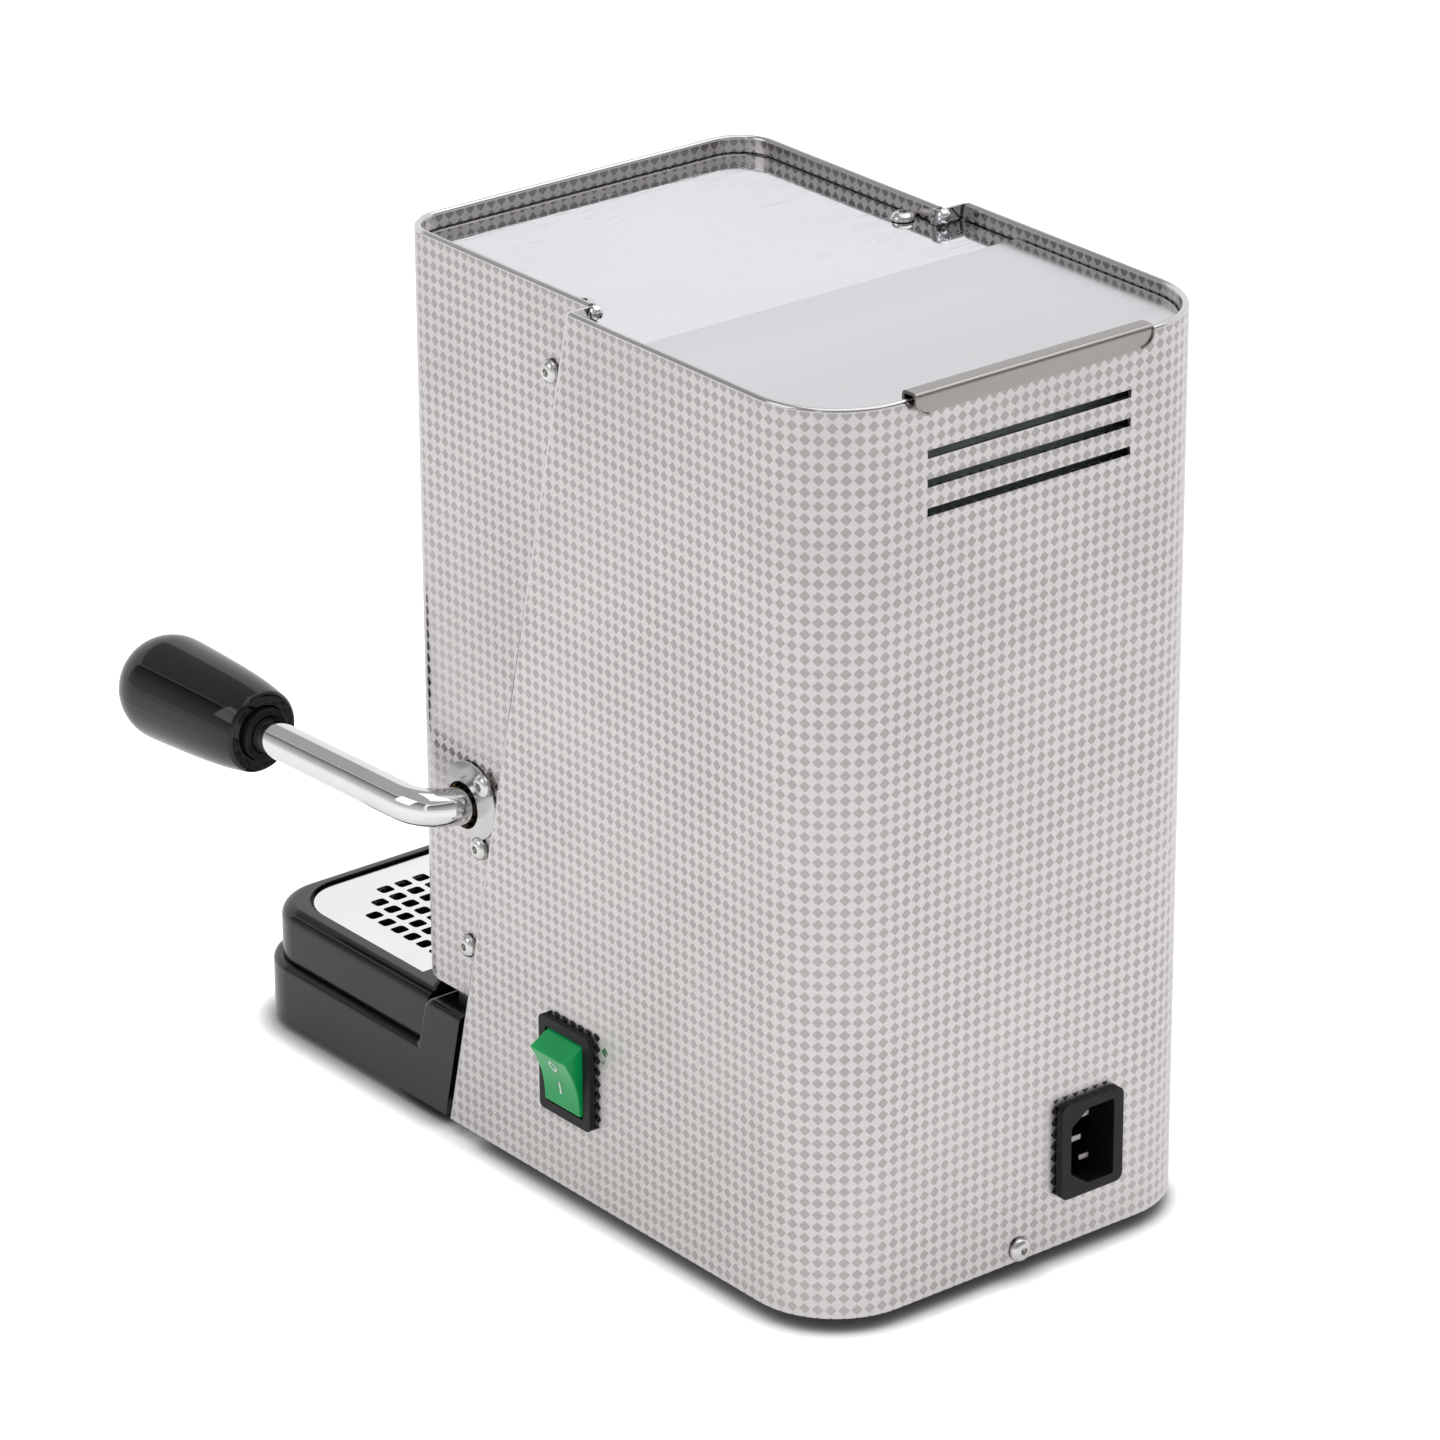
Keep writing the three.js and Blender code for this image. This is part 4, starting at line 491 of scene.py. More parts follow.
# light tone, dark tone, roughness, metallic, grain scale, smear scale, bump in metres, scratch roughness
finishes = {
    "flangeSteel": ((0.66, 0.65, 0.645), (0.55, 0.54, 0.535), (0.08, 0.17), 1, 900, 25, 0.000005, 0.08),
    "mirrorSteel": ((0.76, 0.755, 0.80), (0.70, 0.695, 0.73), (0.03, 0.10), 1, 120, 9, 0.00003, 0.06),
    "lidSteel": ((0.67, 0.665, 0.70), (0.61, 0.605, 0.63), (0.16, 0.26), 1, 700, 12, 0.000006, 0.08),
    # shadedSteel is the lid's satin steel darkened: painted shade for the pull and the inlet pins
    "shadedSteel": ((0.35, 0.335, 0.325), (0.28, 0.265, 0.258), (0.20, 0.32), 1, 700, 30, 0.000006, 0.08),
    "chrome": ((0.80, 0.80, 0.80), (0.72, 0.72, 0.725), (0.03, 0.08), 1, 500, 30, 0.000003, 0.06),
    "screwSteel": ((0.72, 0.71, 0.70), (0.55, 0.54, 0.53), (0.10, 0.22), 1, 1500, 200, 0.000004, 0.1),
    "gridSteel": ((0.90, 0.90, 0.91), (0.82, 0.82, 0.83), (0.10, 0.18), 1, 900, 20, 0.000004, 0.08),
    "groupChrome": ((0.74, 0.73, 0.72), (0.62, 0.61, 0.60), (0.06, 0.14), 1, 600, 40, 0.000008, 0.06),
    "galvanised": ((0.46, 0.47, 0.48), (0.33, 0.34, 0.355), (0.32, 0.5), 0.9, 300, 120, 0.00002, 0.08),
    "brass": ((0.55, 0.37, 0.13), (0.40, 0.25, 0.085), (0.22, 0.38), 1, 900, 45, 0.00002, 0.08),
    "copper": ((0.62, 0.27, 0.16), (0.42, 0.17, 0.10), (0.2, 0.36), 1, 700, 60, 0.00001, 0.08),
    "glossBlack": ((0.003, 0.003, 0.0035), (0.007, 0.007, 0.0075), (0.05, 0.12), 0, 260, 22, 0.000008, 0.06),
    "knobBlack": ((0.002, 0.002, 0.0025), (0.005, 0.005, 0.0055), (0.03, 0.08), 0, 200, 30, 0.000003, 0.06),
    "mattBlack": ((0.006, 0.006, 0.0065), (0.012, 0.012, 0.0125), (0.34, 0.5), 0, 1600, 50, 0.00004, 0.05),
    "rubberBlack": ((0.013, 0.013, 0.013), (0.03, 0.03, 0.029), (0.7, 0.9), 0, 900, 60, 0.0001, 0.0),
    "rubberRed": ((0.24, 0.022, 0.014), (0.16, 0.016, 0.011), (0.55, 0.75), 0, 900, 60, 0.00006, 0.0),
    "tankPlastic": ((0.62, 0.70, 0.72), (0.55, 0.64, 0.67), (0.2, 0.34), 0, 300, 16, 0.00003, 0.1),
    "hosePlastic": ((0.68, 0.68, 0.63), (0.58, 0.58, 0.53), (0.3, 0.45), 0, 600, 60, 0.00004, 0.0),
    "whitePrint": ((0.86, 0.90, 0.88), (0.78, 0.84, 0.81), (0.4, 0.55), 0, 2500, 300, 0.00001, 0.0),
}
brushed = {"flangeSteel": (1, 1, 0.2), "lidSteel": (0.08, 1, 1), "shadedSteel": (0.08, 1, 1)}
plasticExtras = {
    "glossBlack": {"Specular IOR Level": 0.46}, "knobBlack": {"Specular IOR Level": 0.5},
    "mattBlack": {"Specular IOR Level": 0.22}, "hosePlastic": {"Subsurface Weight": 0.1},
    "tankPlastic": {"Transmission Weight": 0.55, "IOR": 1.49},
}
finish = {name: makeFinish(name, *values) for name, values in finishes.items()}
finish["diamondSteel"] = makeDiamondSteel()
# the last number of each lens sets its painted glow
finish["greenLens"] = makeLens("greenLens", (0.001, 0.17, 0.045), (0.004, 0.30, 0.08), 0.3)
finish["amberLens"] = makeLens("amberLens", (0.42, 0.09, 0.008), (0.72, 0.24, 0.03), 0.03)
print("materials made")


# folded sheets

shells = {"rim": 286.6, "sheet": 1.2, "hem": 2.3, "hemBottom": 281.2, "chamfer": 0.35, "flangeInner": 63.2,
          "flangeTop": 286.0, "plainTop": 285.6}


def unrolled(half, radius, faceY, sign):
    # distance along the folded sheet from the middle of its back, and height, as the UV of a point
    def place(point):
        away = sign * (faceY - point.y)
        flat = half - radius
        side = 1 if point.x >= 0 else -1
        if away >= radius:
            along = flat + radius * quarter + away - radius
        elif abs(point.x) > flat:
            along = flat + radius * (quarter - math.atan2(radius - away, abs(point.x) - flat))
        else:
            along = abs(point.x)
        return (side * along, point.z)
    return place


def foldedSheet(half, bottom, radius, length, steps):
    # carries the hemmed section up one side, round both corners and down the other side
    rim, sheet, hemBottom, chamfer = (shells[key] for key in ("rim", "sheet", "hemBottom", "chamfer"))
    hem, roll = shells["hem"], shells["hem"] / 2
    arc = [(roll - roll * math.cos(math.pi * step / 6), rim - roll + roll * math.sin(math.pi * step / 6))
           for step in range(7)]
    section = [(0, bottom), *arc, (hem, hemBottom + chamfer), (hem - chamfer, hemBottom), (sheet, hemBottom),
               (sheet, bottom)]
    bm = bmesh.new()
    verts = [bm.verts.new((half - inset, -length, height)) for inset, height in section]
    edges = [bm.edges.new((verts[i - 1], verts[i])) for i in range(len(verts))]
    edges = carry(bm, edges, y=length - radius)
    edges = sweep(bm, edges, (half - radius, -radius, 0), (0, 0, 1), quarter, steps)
    edges = carry(bm, edges, x=-2 * (half - radius))
    edges = sweep(bm, edges, (radius - half, -radius, 0), (0, 0, 1), quarter, steps)
    carry(bm, edges, y=radius - length)
    return outward(bm)


def addSeamStrips(bm, corners, bottom):
    # a strip of sheet along each leaning seam; corners are (x, distance ahead, radius, steps)
    rise = shells["flangeTop"] - bottom
    strip = bmesh.new()
    faces = plateFace(strip, [(x, seamY(bottom, ahead), *more) for x, ahead, *more in corners], bottom)
    lift(strip, faces, y=lean * rise, z=rise)
    outward(strip)
    copy = bmesh.ops.duplicate(strip, geom=strip.verts[:] + strip.edges[:] + strip.faces[:])["geom"]
    bmesh.ops.scale(strip, verts=only(BMVert, copy), vec=(-1, 1, 1))
    bmesh.ops.reverse_faces(strip, faces=only(BMFace, copy))
    for face in bm.faces:
        if face.calc_center_median().z > shells["plainTop"]:
            face.material_index = 1  # the pattern is stretched away where the sheet is rolled over
    addMesh(bm, strip, 1)


def makeRearShell():
    size = {"half": 75, "corner": 28.5, "bottom": 5, "length": 230, "bend": 2, "vent": (37.5, 1.25),
            "ventHeights": (268.6, 260, 251.4), "inletHole": (-36.1, -15.5, 22.3, 50.3),
            "switchHole": (-129.1, -107.1, 30.8, 59.4)}
    half, bend, sheet, bottom = size["half"], size["bend"], shells["sheet"], size["bottom"]
    bm = foldedSheet(half, bottom, size["corner"], size["length"], 16)
    cutAlong(bm, (0, seamY(0, -bend), 0), (0, -1, lean), keepBehind=True)
    closeEnds(bm)
    across, rise = size["vent"]
    vents = [(-across, across, middle - rise, middle + rise) for middle in size["ventHeights"]]
    for x0, x1, z0, z1 in (*vents, size["inletHole"]):
        rectWindow(bm, 1, (x0, -2, z0), (x1, 1, z1))
    y0, y1, z0, z1 = size["switchHole"]
    rectWindow(bm, 0, (half - 2, y0, z0), (half + 1, y1, z1))
    outward(bm)
    addSeamStrips(bm, [(half, -bend), (half, 0, bend - hair, 5), (shells["flangeInner"], 0),
                       (shells["flangeInner"], -sheet), (half - sheet, -sheet, bend - sheet - hair, 3),
                       (half - sheet, -bend)], bottom)
    finished(bm, "housing", "rear_shell", "checkered_steel", "diamondSteel", "flangeSteel",
             unroll=unrolled(half, size["corner"], 0, 1))


def makeFrontShell():
    size = {"half": 66.25, "corner": 14, "bottom": 43.6, "length": 160, "face": -208.7, "gap": 0.3,
            "window": (-34, 34, 101, 181), "leverHole": (seamY(108, 23.37), 108, 7.5),
            "roundHoles": ((-15, 232, 9.1), (15, 232, 4.8))}
    half, face, gap, sheet, bottom = size["half"], size["face"], size["gap"], shells["sheet"], size["bottom"]
    bm = foldedSheet(half, bottom, size["corner"], size["length"], 12)
    bmesh.ops.scale(bm, verts=bm.verts, vec=(1, -1, 1))
    outward(shifted(bm, y=face))
    cutAlong(bm, (0, seamY(0, gap), 0), (0, 1, -lean), keepBehind=True)
    closeEnds(bm)
    x0, x1, z0, z1 = size["window"]
    rectWindow(bm, 1, (x0, face - 1, z0), (x1, face + 2, z1))
    for x, z, radius in size["roundHoles"]:
        roundWindow(bm, (x, face, z), radius, 1, face, face + sheet)
    y, z, radius = size["leverHole"]
    roundWindow(bm, (half, y, z), radius, 0, half, half - sheet, 56)
    outward(bm)
    addSeamStrips(bm, [(half - sheet, gap), (shells["flangeInner"], gap), (shells["flangeInner"], gap + sheet),
                       (half - sheet, gap + sheet)], bottom)
    finished(bm, "housing", "front_shell", "checkered_steel", "diamondSteel", "flangeSteel",
             unroll=unrolled(half, size["corner"], face, -1))


makeRearShell()
makeFrontShell()
print("shells made")


def makeLid():
    size = {"half": 72, "front": -89.6, "rear": -3, "corner": 25.5, "low": 281.2, "high": 282.2, "edge": 0.2,
            "pullHalf": 43.6, "pullTop": 288.5, "pullBottom": 282.2, "pullOut": 2.4, "bend": 1.6,
            "cornerDrop": 4.6, "lip": 0.9, "lipSheet": 0.7, "lipStart": 0.25}
    half, front, rear, low = size["half"], size["front"], size["rear"], size["low"]
    pull, top, bottom, out = size["pullHalf"], size["pullTop"], size["pullBottom"], size["pullOut"]
    bend, drop, thick = size["bend"], size["cornerDrop"], size["high"] - size["low"]
    bm = plate([(-half, front, 1, 3), (half, front, 1, 3), (half, rear, size["corner"], 16),
                (-half, rear, size["corner"], 16)], low, size["high"])
    soften(bm, 0.22, 2)
    # the pull is a folded strip: riser, top and outer leg, drawn as depth and height
    fold = plate([(rear - thick, low + 0.1), (rear - thick, top, bend, 5), (out, top, bend, 5), (out, bottom),
                  (out - thick, bottom), (out - thick, top - thick, bend - thick, 3),
                  (rear, top - thick, bend - thick, 3), (rear, low + 0.1)], 0, 2 * pull)
    moved(fold, Matrix(((0, 0, 1, -pull), (1, 0, 0, 0), (0, 1, 0, 0), (0, 0, 0, 1))))
    soften(fold, drop, 7, lambda middle, edge: middle.z < bottom + hair and abs(abs(middle.x) - pull) < hair
           and middle.y > 0)
    soften(fold, size["edge"], 2)
    addMesh(bm, fold, 1)
    for side in (-1, 1):  # a thin lip turned outwards round each end of the leg
        lip = bmesh.new()
        start = lip.verts.new((side * pull, out - size["lipStart"], top - size["lipSheet"]))
        turn = lip.verts.new((side * pull, out - size["lipStart"], bottom + drop))
        lip.edges.new((start, turn))
        bmesh.ops.spin(lip, geom=[turn], cent=(side * (pull - drop), 0, bottom + drop), axis=(0, 1, 0),
                       angle=side * quarter, steps=8, use_merge=False, use_duplicate=False)
        carry(lip, lip.edges[:], y=size["lip"])
        bmesh.ops.solidify(lip, geom=lip.faces[:], thickness=size["lipSheet"])
        soften(outward(lip), size["edge"], 2)
        addMesh(bm, lip, 1)
    # the pull takes the steel with painted shade
    finished(bm, "lid", "tank_lid", "satin_steel", "lidSteel", "shadedSteel")


makeLid()
print("lid made")


# base, feet, tray and grid

def leaningBlock(size, ahead, low, high):
    # a block with a rounded front, whose rear face leans with the seam
    bm = bmesh.new()
    outline = frontCorners(size["half"], size["front"], seamY(low, ahead), size["corner"])
    top = lift(bm, plateFace(bm, outline, low), z=high - low)
    bmesh.ops.translate(bm, verts=[vert for vert in top if vert.co.y > size["front"] + 60],
                        vec=(0, lean * (high - low), 0))
    bmesh.ops.dissolve_limit(bm, angle_limit=0.01, verts=bm.verts, edges=bm.edges)
    return bm


def makeBase():
    size = {"half": 73, "front": -290, "corner": 21.5, "bottom": 3.5, "ledge": 22.5, "top": 40, "gap": 3.5,
            "raisedAhead": 22.5, "edge": 2.2, "frontEdge": 4, "wall": 5.2, "hollow": 16.5, "boss": 9,
            "bossAt": (52, -262), "underFrom": -210}
    bottom, ledge, top, ahead = size["bottom"], size["ledge"], size["top"], size["raisedAhead"]
    bm = leaningBlock(size, size["gap"], bottom, ledge)
    cutAlong(bm, (0, seamY(0, ahead), 0), (0, -1, lean))
    rear = [face for face in bm.faces if face.calc_center_median().z > ledge - hair
            and face.calc_center_median().y > seamY(ledge, ahead)]
    liftOff(bm, rear, ledge, lean * (top - ledge), top - ledge)
    soften(bm, size["frontEdge"], 6, lambda middle, edge: middle.z > top - hair and abs(middle.x) < 1
           and middle.y < seamY(top, ahead - 1))
    soften(bm, size["edge"], 5, lambda middle, edge: middle.z > ledge - hair
           and middle.y < seamY(middle.z, size["gap"] + 0.5))
    under = [face for face in bm.faces
             if face.normal.z < -0.9 and face.calc_center_median().y < size["underFrom"]]
    bmesh.ops.inset_region(bm, faces=under, thickness=size["wall"], use_boundary=True, use_even_offset=True)
    liftOff(bm, under, bottom, 0, size["hollow"])
    for side in (-1, 1):
        boss = turned([(0, bottom), (size["boss"], bottom), (size["boss"], ledge - 1), (0, ledge - 1)], 32, 0.4)
        addMesh(bm, shifted(boss, side * size["bossAt"][0], size["bossAt"][1]))
    finished(bm, "housing", "base_tub", "black_gloss", "glossBlack")


def makeFeet():
    size = {"front": (52, -262, 3.2), "rear": (52, -32, 6), "radius": 8, "bottomRadius": 6.6, "ringDepth": 0.5,
            "ring": (3.2, 3.6)}
    for end in ("front", "rear"):
        across, along, height = size[end]
        for label, side in (("right", 1), ("left", -1)):
            foot = turned([(0, size["ringDepth"]), (size["ring"][0], size["ringDepth"]), (size["ring"][1], 0),
                           (size["bottomRadius"], 0), (size["radius"], height / 2), (size["radius"], height),
                           (0, height)], 40, 0.35)
            finished(shifted(foot, side * across, along), "housing", f"foot_{end}_{label}", "black_rubber",
                     "rubberBlack")


def makeTray():
    size = {"half": 70, "front": -287, "corner": 18.5, "low": 22.8, "rim": 40, "rearAhead": 24, "edge": 4.5,
            "mouthEdge": 0.5, "recess": (62.6, -281.1, -209.2, 17.5), "seat": (59.6, -278.1, -212.2, 14.5),
            "seatHeight": 37.5, "floor": 24.8}
    rim = size["rim"]
    bm = outward(leaningBlock(size, size["rearAhead"], size["low"], rim))
    soften(bm, size["edge"], 8, lambda middle, edge: middle.z > rim - hair
           and middle.y < seamY(rim, size["rearAhead"] + 0.5))
    flat = [face for face in bm.faces if face.normal.z > 0.99 and face.calc_center_median().z > rim - hair]
    outer = [edge for edge in bm.edges if sum(face in flat for face in edge.link_faces) == 1]
    bmesh.ops.delete(bm, geom=flat, context="FACES_ONLY")
    mouth = loopEdges(bm, frontCorners(*size["recess"]), rim)
    fillFlat(bm, outer + mouth)
    step = carry(bm, mouth, z=size["seatHeight"] - rim)
    inner = loopEdges(bm, frontCorners(*size["seat"]), size["seatHeight"])
    fillFlat(bm, step + inner)
    fillFlat(bm, carry(bm, inner, z=size["floor"] - size["seatHeight"]))
    soften(outward(bm), size["mouthEdge"], 3,
           lambda middle, edge: middle.z > rim - hair and edge.calc_face_angle(0) > 1.4)
    finished(bm, "tray", "drip_tray", "black_gloss", "glossBlack")


def makeGrid():
    size = {"outline": (61.4, -279.9, -209.5, 16.3), "low": 37.8, "high": 39, "pitch": (7.0, 6.7),
            "holeHalf": (2.5, 2.25), "holeCorner": 1.1, "firstRow": -266.7, "reaches": (5, 6, 7, 7, 7, 7, 7, 7)}
    wide, tall = size["holeHalf"]
    holes = []
    for row, reach in enumerate(size["reaches"]):
        y = size["firstRow"] + row * size["pitch"][1]
        for column in range(-reach, reach + 1):
            x = column * size["pitch"][0]
            holes.append(rectCorners(x - wide, x + wide, y - tall, y + tall, size["holeCorner"], 3))
    bm = plate(frontCorners(*size["outline"]), size["low"], size["high"], holes)
    finished(bm, "grid", "drip_grid", "polished_steel", "gridSteel")


makeBase()
makeFeet()
makeTray()
makeGrid()
print("base, tray and grid made")


# lever

lever = {"setback": -seamY(108, 23.37), "height": 108, "rod": 5.9, "bendStart": 65.9, "bend": 14, "splay": 3.74,
         "rise": 0.9, "arm": 66.9, "grip": 40, "left": 64}
leverTurn = quarter - math.radians(lever["splay"])
leverPlace = (Matrix.Translation((0, -lever["setback"], lever["height"]))
              @ Matrix.Rotation(-math.radians(lever["rise"]), 4, "X"))
bendEnd = (lever["bendStart"] + lever["bend"] * math.sin(leverTurn),
           -lever["bend"] * (1 - math.cos(leverTurn)), 0)
alongArm = leverPlace @ Matrix.Translation(bendEnd) @ Matrix.Rotation(-leverTurn, 4, "Z") @ layAcross


def makeRod():
    bm = bmesh.new()
    edges = circleEdges(bm, lever["rod"], 48, Matrix.Translation((-lever["left"], 0, 0)) @ layAcross)
    edges = carry(bm, edges, x=lever["left"] + lever["bendStart"])
    edges = sweep(bm, edges, (lever["bendStart"], -lever["bend"], 0), (0, 0, -1), leverTurn, 24)
    reach = lever["arm"] + lever["grip"]
    carry(bm, edges, reach * math.cos(leverTurn), -reach * math.sin(leverTurn))
    soften(closeEnds(bm), 0.5, 3, lambda middle, edge: abs(middle.x + lever["left"]) < hair)
    finished(bm, "lever", "lever_rod", "polished_steel", "chrome", place=leverPlace)


def makeKnob():
    size = {"length": 62, "radius": 17, "mouth": 13.25, "chamfer": 1.0, "seat": 8.7, "recess": 1.4,
            "bore": (6.2, 6), "line": 0.12, "lineRise": 1.004,
            "swell": ((0.06, 0.815), (0.12, 0.855), (0.22, 0.9), (0.33, 0.932), (0.45, 0.958), (0.55, 0.976),
                      (0.63, 0.99), (0.69, 0.998))}
    length, radius, seat, mouth = size["length"], size["radius"], size["seat"], size["mouth"]
    swell = [(share * radius, along * length) for along, share in size["swell"]]
    bore, deep = size["bore"]
    bm = turned([(bore, deep), (bore, size["recess"]), (seat, size["recess"]), (seat, 0),
                 (mouth - size["chamfer"], 0), (mouth, size["chamfer"]), *swell,
                 *dome(radius, radius, length - radius, 14), (0, length)], 72, 0.35, 3, 30)
    # the moulding's parting line runs round the knob as a very fine ridge
    parting = [edge for edge in bm.edges if all(abs(v.co.x) < hair and abs(v.co.y) > 8 for v in edge.verts)]
    made = bmesh.ops.bevel(bm, geom=parting, offset=size["line"], offset_type="OFFSET", segments=2, profile=0.5,
                           affect="EDGES", material=-1)
    for v in made["verts"]:
        if v.is_valid and abs(v.co.x) < 2 * hair:
            v.co.xy *= size["lineRise"]
    finished(bm, "lever", "lever_knob", "black_gloss", "knobBlack",
             place=alongArm @ Matrix.Translation((0, 0, lever["arm"])))


def makeFerrule():
    size = {"radius": 8.4, "bore": 6.1, "length": 3, "sunk": 1.1}
    radius, bore, length = size["radius"], size["bore"], size["length"]
    bm = turned([(bore, 0), (radius, 0), (radius, length), (bore, length), (bore, 0)], 56, 0.45, 3)
    finished(bm, "lever", "lever_ferrule", "black_plastic", "mattBlack",
             place=alongArm @ Matrix.Translation((0, 0, lever["arm"] + size["sunk"] - length)))


def makeDisc():
    size = {"radius": 12.5, "near": 66.55, "far": 67.15, "offset": (3.8, 2.8), "hole": 7.5}
    bm = bmesh.new()
    edges = []
    for radius, (y, z) in ((size["radius"], size["offset"]), (size["hole"], (0, 0))):
        spot = Matrix.Translation((size["near"], y - lever["setback"], z + lever["height"]))
        edges += circleEdges(bm, radius, 64, spot @ layAcross)
    lift(bm, fillFlat(bm, edges, (1, 0, 0)), x=size["far"] - size["near"])
    soften(outward(bm), 0.15, 2)
    finished(bm, "housing", "lever_escutcheon", "mirror_steel", "flangeSteel", name="leverDisc")


makeRod()
makeKnob()
makeFerrule()
makeDisc()
print("lever made")


# screws

def screwMesh(headRadius, headHeight, shankRadius, length):
    # a button head on +Z with a hexagon socket
    socket, depth = 1.35, 1.2
    head = [(headRadius * share, headHeight * rise) for share, rise in
            ((1, 0.0), (1, 0.2), (0.975, 0.36), (0.9, 0.58), (0.78, 0.78), (0.62, 0.93), (0.47, 1.0))]
    bm = turned([(0, -length), (shankRadius, -length), (shankRadius, 0), *head], 36)
    rim = [edge for edge in bm.edges if edge.is_boundary]
    hexagon = circleEdges(bm, socket, 6, Matrix.Translation((0, 0, headHeight - 0.05)))
    bmesh.ops.bridge_loops(bm, edges=rim + hexagon)
    bmesh.ops.contextual_create(bm, geom=carry(bm, hexagon, z=-depth))
    return outward(bm)


def makeScrews():
    size = {"seamSeat": 66.55, "discLift": 0.9, "head": (3.75, 2.2, 2, 5), "rimHead": (2.35, 2.4, 0.9, 3),
            "seam": {"upper": (261.2, 11.83), "lever": (118.3, 14.36), "middle": (96.2, 12.94),
                     "lower": (61.3, 11.57)},
            "deck": (59.5, seamY(279.4, 9.34), 281.2), "rim": (64.8, 284.2), "rimSheet": 1.2, "rimGap": 0.3,
            "rear": (0, 0.3, 9)}

    def screw(node, spot, turn=Matrix.Identity(4), head="head", label="screwSteel"):
        finished(screwMesh(*size[head]), "housing", node, "polished_steel", label,
                 place=Matrix.Translation(spot) @ turn)

    for label, side in (("right", 1), ("left", -1)):
        for spot, (height, ahead) in size["seam"].items():
            out = size["seamSeat"] + (size["discLift"] if (label, spot) == ("right", "lever") else 0)
            screw(f"seam_screw_{label}_{spot}", (side * out, seamY(height, ahead), height),
                  Matrix.Rotation(side * quarter, 4, "Y"))
        x, y, z = size["deck"]
        screw(f"deck_screw_{label}", (side * x, y, z))
        x, z = size["rim"]
        behind = size["rimSheet"] + size["rimGap"] / math.cos(seam["angle"])
        screw(f"rim_screw_{label}", (side * x, seamY(z) + behind, z),
              Matrix.Rotation(-quarter - seam["angle"], 4, "X"), "rimHead", "chrome")
    screw("rear_screw", size["rear"], Matrix.Rotation(-quarter, 4, "X"))


makeScrews()
print("screws made")


# switch and inlet

switch = {"y": -118.1, "z": 45.1, "face": 77.3, "pivotX": 74.5}
inlet = {"x": -25.8, "z": 36.3}


def makeBezel():
    size = {"outer": (24.6, 31, 1.8, 5), "near": 75.3, "opening": (18.2, 24.6), "openingCorner": 0.8,
            "back": 58, "floor": 2, "wellWall": (2.8, 3.0), "wellGap": 0.6, "overlap": 0.2}
    wide, tall = size["opening"]
    face, near, back = switch["face"], size["near"], size["back"]
    bm = plate(centredCorners(*size["outer"]), near, face, [centredCorners(wide, tall, size["openingCorner"])])
    soften(bm, 0.55, 3, above(face))
    # walls and floor of the pocket behind the rocker
    wall = centredCorners(wide + size["wellWall"][0], tall + size["wellWall"][1])
    inner = centredCorners(wide + size["wellGap"], tall + size["wellGap"])
    addMesh(bm, plate(wall, back, near + size["overlap"], [inner]))
    addMesh(bm, plate(wall, back - size["floor"], back))
    stand = Matrix(((0, 0, 1, 0), (1, 0, 0, switch["y"]), (0, 1, 0, switch["z"]), (0, 0, 0, 1)))
    finished(bm, "housing", "switch_bezel", "black_plastic", "mattBlack", place=stand)


def makeRocker():
    size = {"width": 17.2, "tilt": 16, "ridge": (6.6, 9.9), "edge": (-1.2, 11.8), "valley": 5.1,
            "shoulder": (-3, 10.5), "heel": (-7.4, 6), "bow": 1.85, "markAt": (5.3, -3.2), "markRise": 0.07,
            "ring": ((1.6, 2.1), (1.02, 1.52)), "bar": (0.55, 4.0)}

    def surface(rise):
        share = min(abs(rise) / size["ridge"][1], 1)
        return size["valley"] + (size["ridge"][0] - size["valley"]) * share ** size["bow"]

    rises = [size["ridge"][1] * step / 8 for step in range(-8, 9)]
    corners = [size["edge"], size["shoulder"], size["heel"]]
    outline = [(surface(rise), rise) for rise in rises] + corners
    outline += [(x, -rise) for x, rise in reversed(corners)]
    bm = bmesh.new()
    lift(bm, plateFace(bm, outline, -size["width"] / 2), z=size["width"])
    bmesh.ops.dissolve_limit(bm, angle_limit=0.005, verts=bm.verts, edges=bm.edges)
    stoodUp(soften(outward(bm), 0.45, 3, angle=35))

    def addMark(mark, height):
        # bends a flat mark on to the hollow face of the rocker, a hair proud of it
        for vert in shifted(mark, z=height).verts:
            vert.co.x += surface(vert.co.z) + size["markRise"]
        addMesh(bm, outward(mark), 1)

    ring = bmesh.new()
    edges = []
    for wide, tall in size["ring"]:
        edges += circleEdges(ring, 1, 40, Matrix.Diagonal((1, wide, tall, 1)) @ layAcross)
    bmesh.ops.bridge_loops(ring, edges=edges)
    lift(ring, ring.faces[:], x=size["markRise"])
    addMark(ring, size["markAt"][0])
    bar = bmesh.new()
    bmesh.ops.create_cube(bar, size=1, matrix=Matrix.Diagonal((size["markRise"], *size["bar"], 1)))
    tall = [edge for edge in bar.edges if abs(edge.verts[0].co.z - edge.verts[1].co.z) > 1]
    bmesh.ops.subdivide_edges(bar, edges=tall, cuts=4, use_grid_fill=True)
    addMark(bar, size["markAt"][1])
    place = (Matrix.Translation((switch["pivotX"], switch["y"], switch["z"]))
             @ Matrix.Rotation(math.radians(size["tilt"]), 4, "Y"))
    finished(bm, "rocker", "switch_rocker", "green_lens", "greenLens", "whitePrint", place=place)


